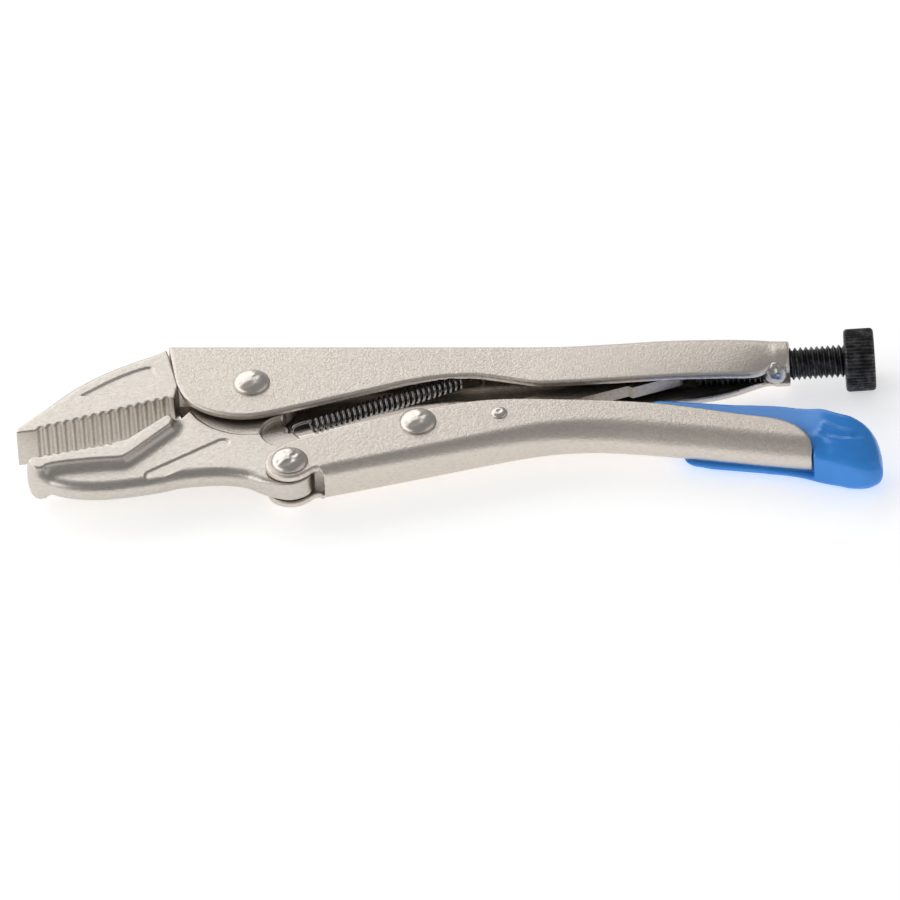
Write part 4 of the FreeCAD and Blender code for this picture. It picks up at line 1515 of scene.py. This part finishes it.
@dataclass
class Studio:
    """Pale floor, soft light and the camera."""

    azimuth: float = math.radians(5.89)
    elevation: float = math.radians(40.54)
    roll: float = math.radians(3.83)
    distance: float = 6.0
    lens: float = 831.6
    target: tuple[float, float, float] = (45.44, 11.86, 0.0)
    table_half: float = 6.0
    table_glow: float = 0.5
    sky: float = 0.28

    def camera(self) -> None:
        """Place the camera."""
        sin_a, cos_a = math.sin(self.azimuth), math.cos(self.azimuth)
        sin_e, cos_e = math.sin(self.elevation), math.cos(self.elevation)
        back = Vector((sin_a * cos_e, -cos_a * cos_e, sin_e))
        right = Vector((cos_a, sin_a, 0.0))
        up = back.cross(right)
        turned_right = right * math.cos(self.roll) - up * math.sin(self.roll)
        turned_up = up * math.cos(self.roll) + right * math.sin(self.roll)
        data = bpy.data.cameras.new("camera")
        data.lens = self.lens
        data.sensor_width = 36.0
        data.clip_end = 20.0
        camera = bpy.data.objects.new("camera", data)
        place = Vector(MECHANISM.to_part(np.array(self.target))) + back * self.distance
        camera.matrix_world = Matrix((
            (turned_right.x, turned_up.x, back.x, place.x),
            (turned_right.y, turned_up.y, back.y, place.y),
            (turned_right.z, turned_up.z, back.z, place.z),
            (0.0, 0.0, 0.0, 1.0)))
        bpy.context.scene.collection.objects.link(camera)
        bpy.context.scene.camera = camera

    def softbox(self, name: str, place: tuple, aim: tuple, size: Pair, power: float) -> None:
        """Hang one rectangular light.

        Args:
            name: Name of the light.
            place: Where it hangs, in metres.
            aim: Point that it faces.
            size: Width and height in metres.
            power: Power in watts.
        """
        data = bpy.data.lights.new(name, "AREA")
        data.shape = "RECTANGLE"
        data.size, data.size_y = size
        data.energy = power
        lamp = bpy.data.objects.new(name, data)
        lamp.location = place
        lamp.rotation_euler = (Vector(aim) - Vector(place)).to_track_quat("-Z", "Y").to_euler()
        bpy.context.scene.collection.objects.link(lamp)

    def floor(self) -> None:
        """Lay the pale floor."""
        corners = [(-1, -1, 0), (1, -1, 0), (1, 1, 0), (-1, 1, 0)]
        points = np.array(corners, float) * self.table_half
        floor = new_mesh("floor", points, [(0, 1, 2, 3)])
        material = bpy.data.materials.new("floor_white")
        material.use_nodes = True
        shader = material.node_tree.nodes["Principled BSDF"]
        shader.inputs["Base Color"].default_value = (0.93, 0.93, 0.93, 1.0)
        shader.inputs["Roughness"].default_value = 0.9
        shader.inputs["Specular IOR Level"].default_value = 0.2
        shader.inputs["Emission Color"].default_value = (1.0, 1.0, 1.0, 1.0)
        shader.inputs["Emission Strength"].default_value = self.table_glow
        floor.data.materials.append(material)

    def build(self) -> None:
        """Make the floor, the world, the lights and the camera."""
        self.floor()
        world = bpy.data.worlds.new("studio")
        world.use_nodes = True
        background = world.node_tree.nodes["Background"]
        background.inputs["Color"].default_value = (1.0, 1.0, 1.0, 1.0)
        background.inputs["Strength"].default_value = self.sky
        bpy.context.scene.world = world
        bpy.context.scene.view_settings.view_transform = "Standard"
        self.softbox("back_light", (-0.82, 1.1, 0.85), (-0.1, 0, 0), (1.9, 1.2), 10.6)
        self.softbox("left_light", (-1.5, -0.35, 0.75), (0, 0, 0), (2.2, 1.1), 11.0)
        self.softbox("right_light", (1.5, -0.35, 0.75), (0, 0, 0), (2.2, 1.1), 3.0)
        self.camera()


def main() -> None:
    """Build every sub-assembly in order."""
    logging.basicConfig(level=logging.INFO, format="%(name)s %(message)s")
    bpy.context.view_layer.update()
    Studio().build()
    UpperHandle().build()
    EndWeld().build()
    SpringPin().build()
    UpperJaw().build()
    LowerJaw().build()
    LowerHandle().build()
    ReleaseLever().build()
    pivot = {"shank": 4.0, "head": 5.4, "rise": 2.15}
    RivetHead("jaw_pivot_head", "jaw_pivot_rivet", "upper_handle", MECHANISM.jaw_pivot,
              hammered=0.25, **pivot).build()
    RivetHead("handle_pivot_head", "handle_pivot_rivet", "lower_handle", (0.0, 0.0),
              hammered=0.6, **pivot).build()
    RivetHead("link_pivot_head", "link_rivet", "lower_handle", MECHANISM.link_pivot,
              hammered=0.3, **pivot).build()
    RivetHead("lever_pivot_head", "lever_rivet", "lower_handle", MECHANISM.lever_pivot,
              shank=1.6, head=2.4, rise=0.95, dimple=0.3).build()
    AdjustingScrew().build()
    TensionSpring().build()
    dress_carried_nodes()


if __name__ == "__main__":
    main()
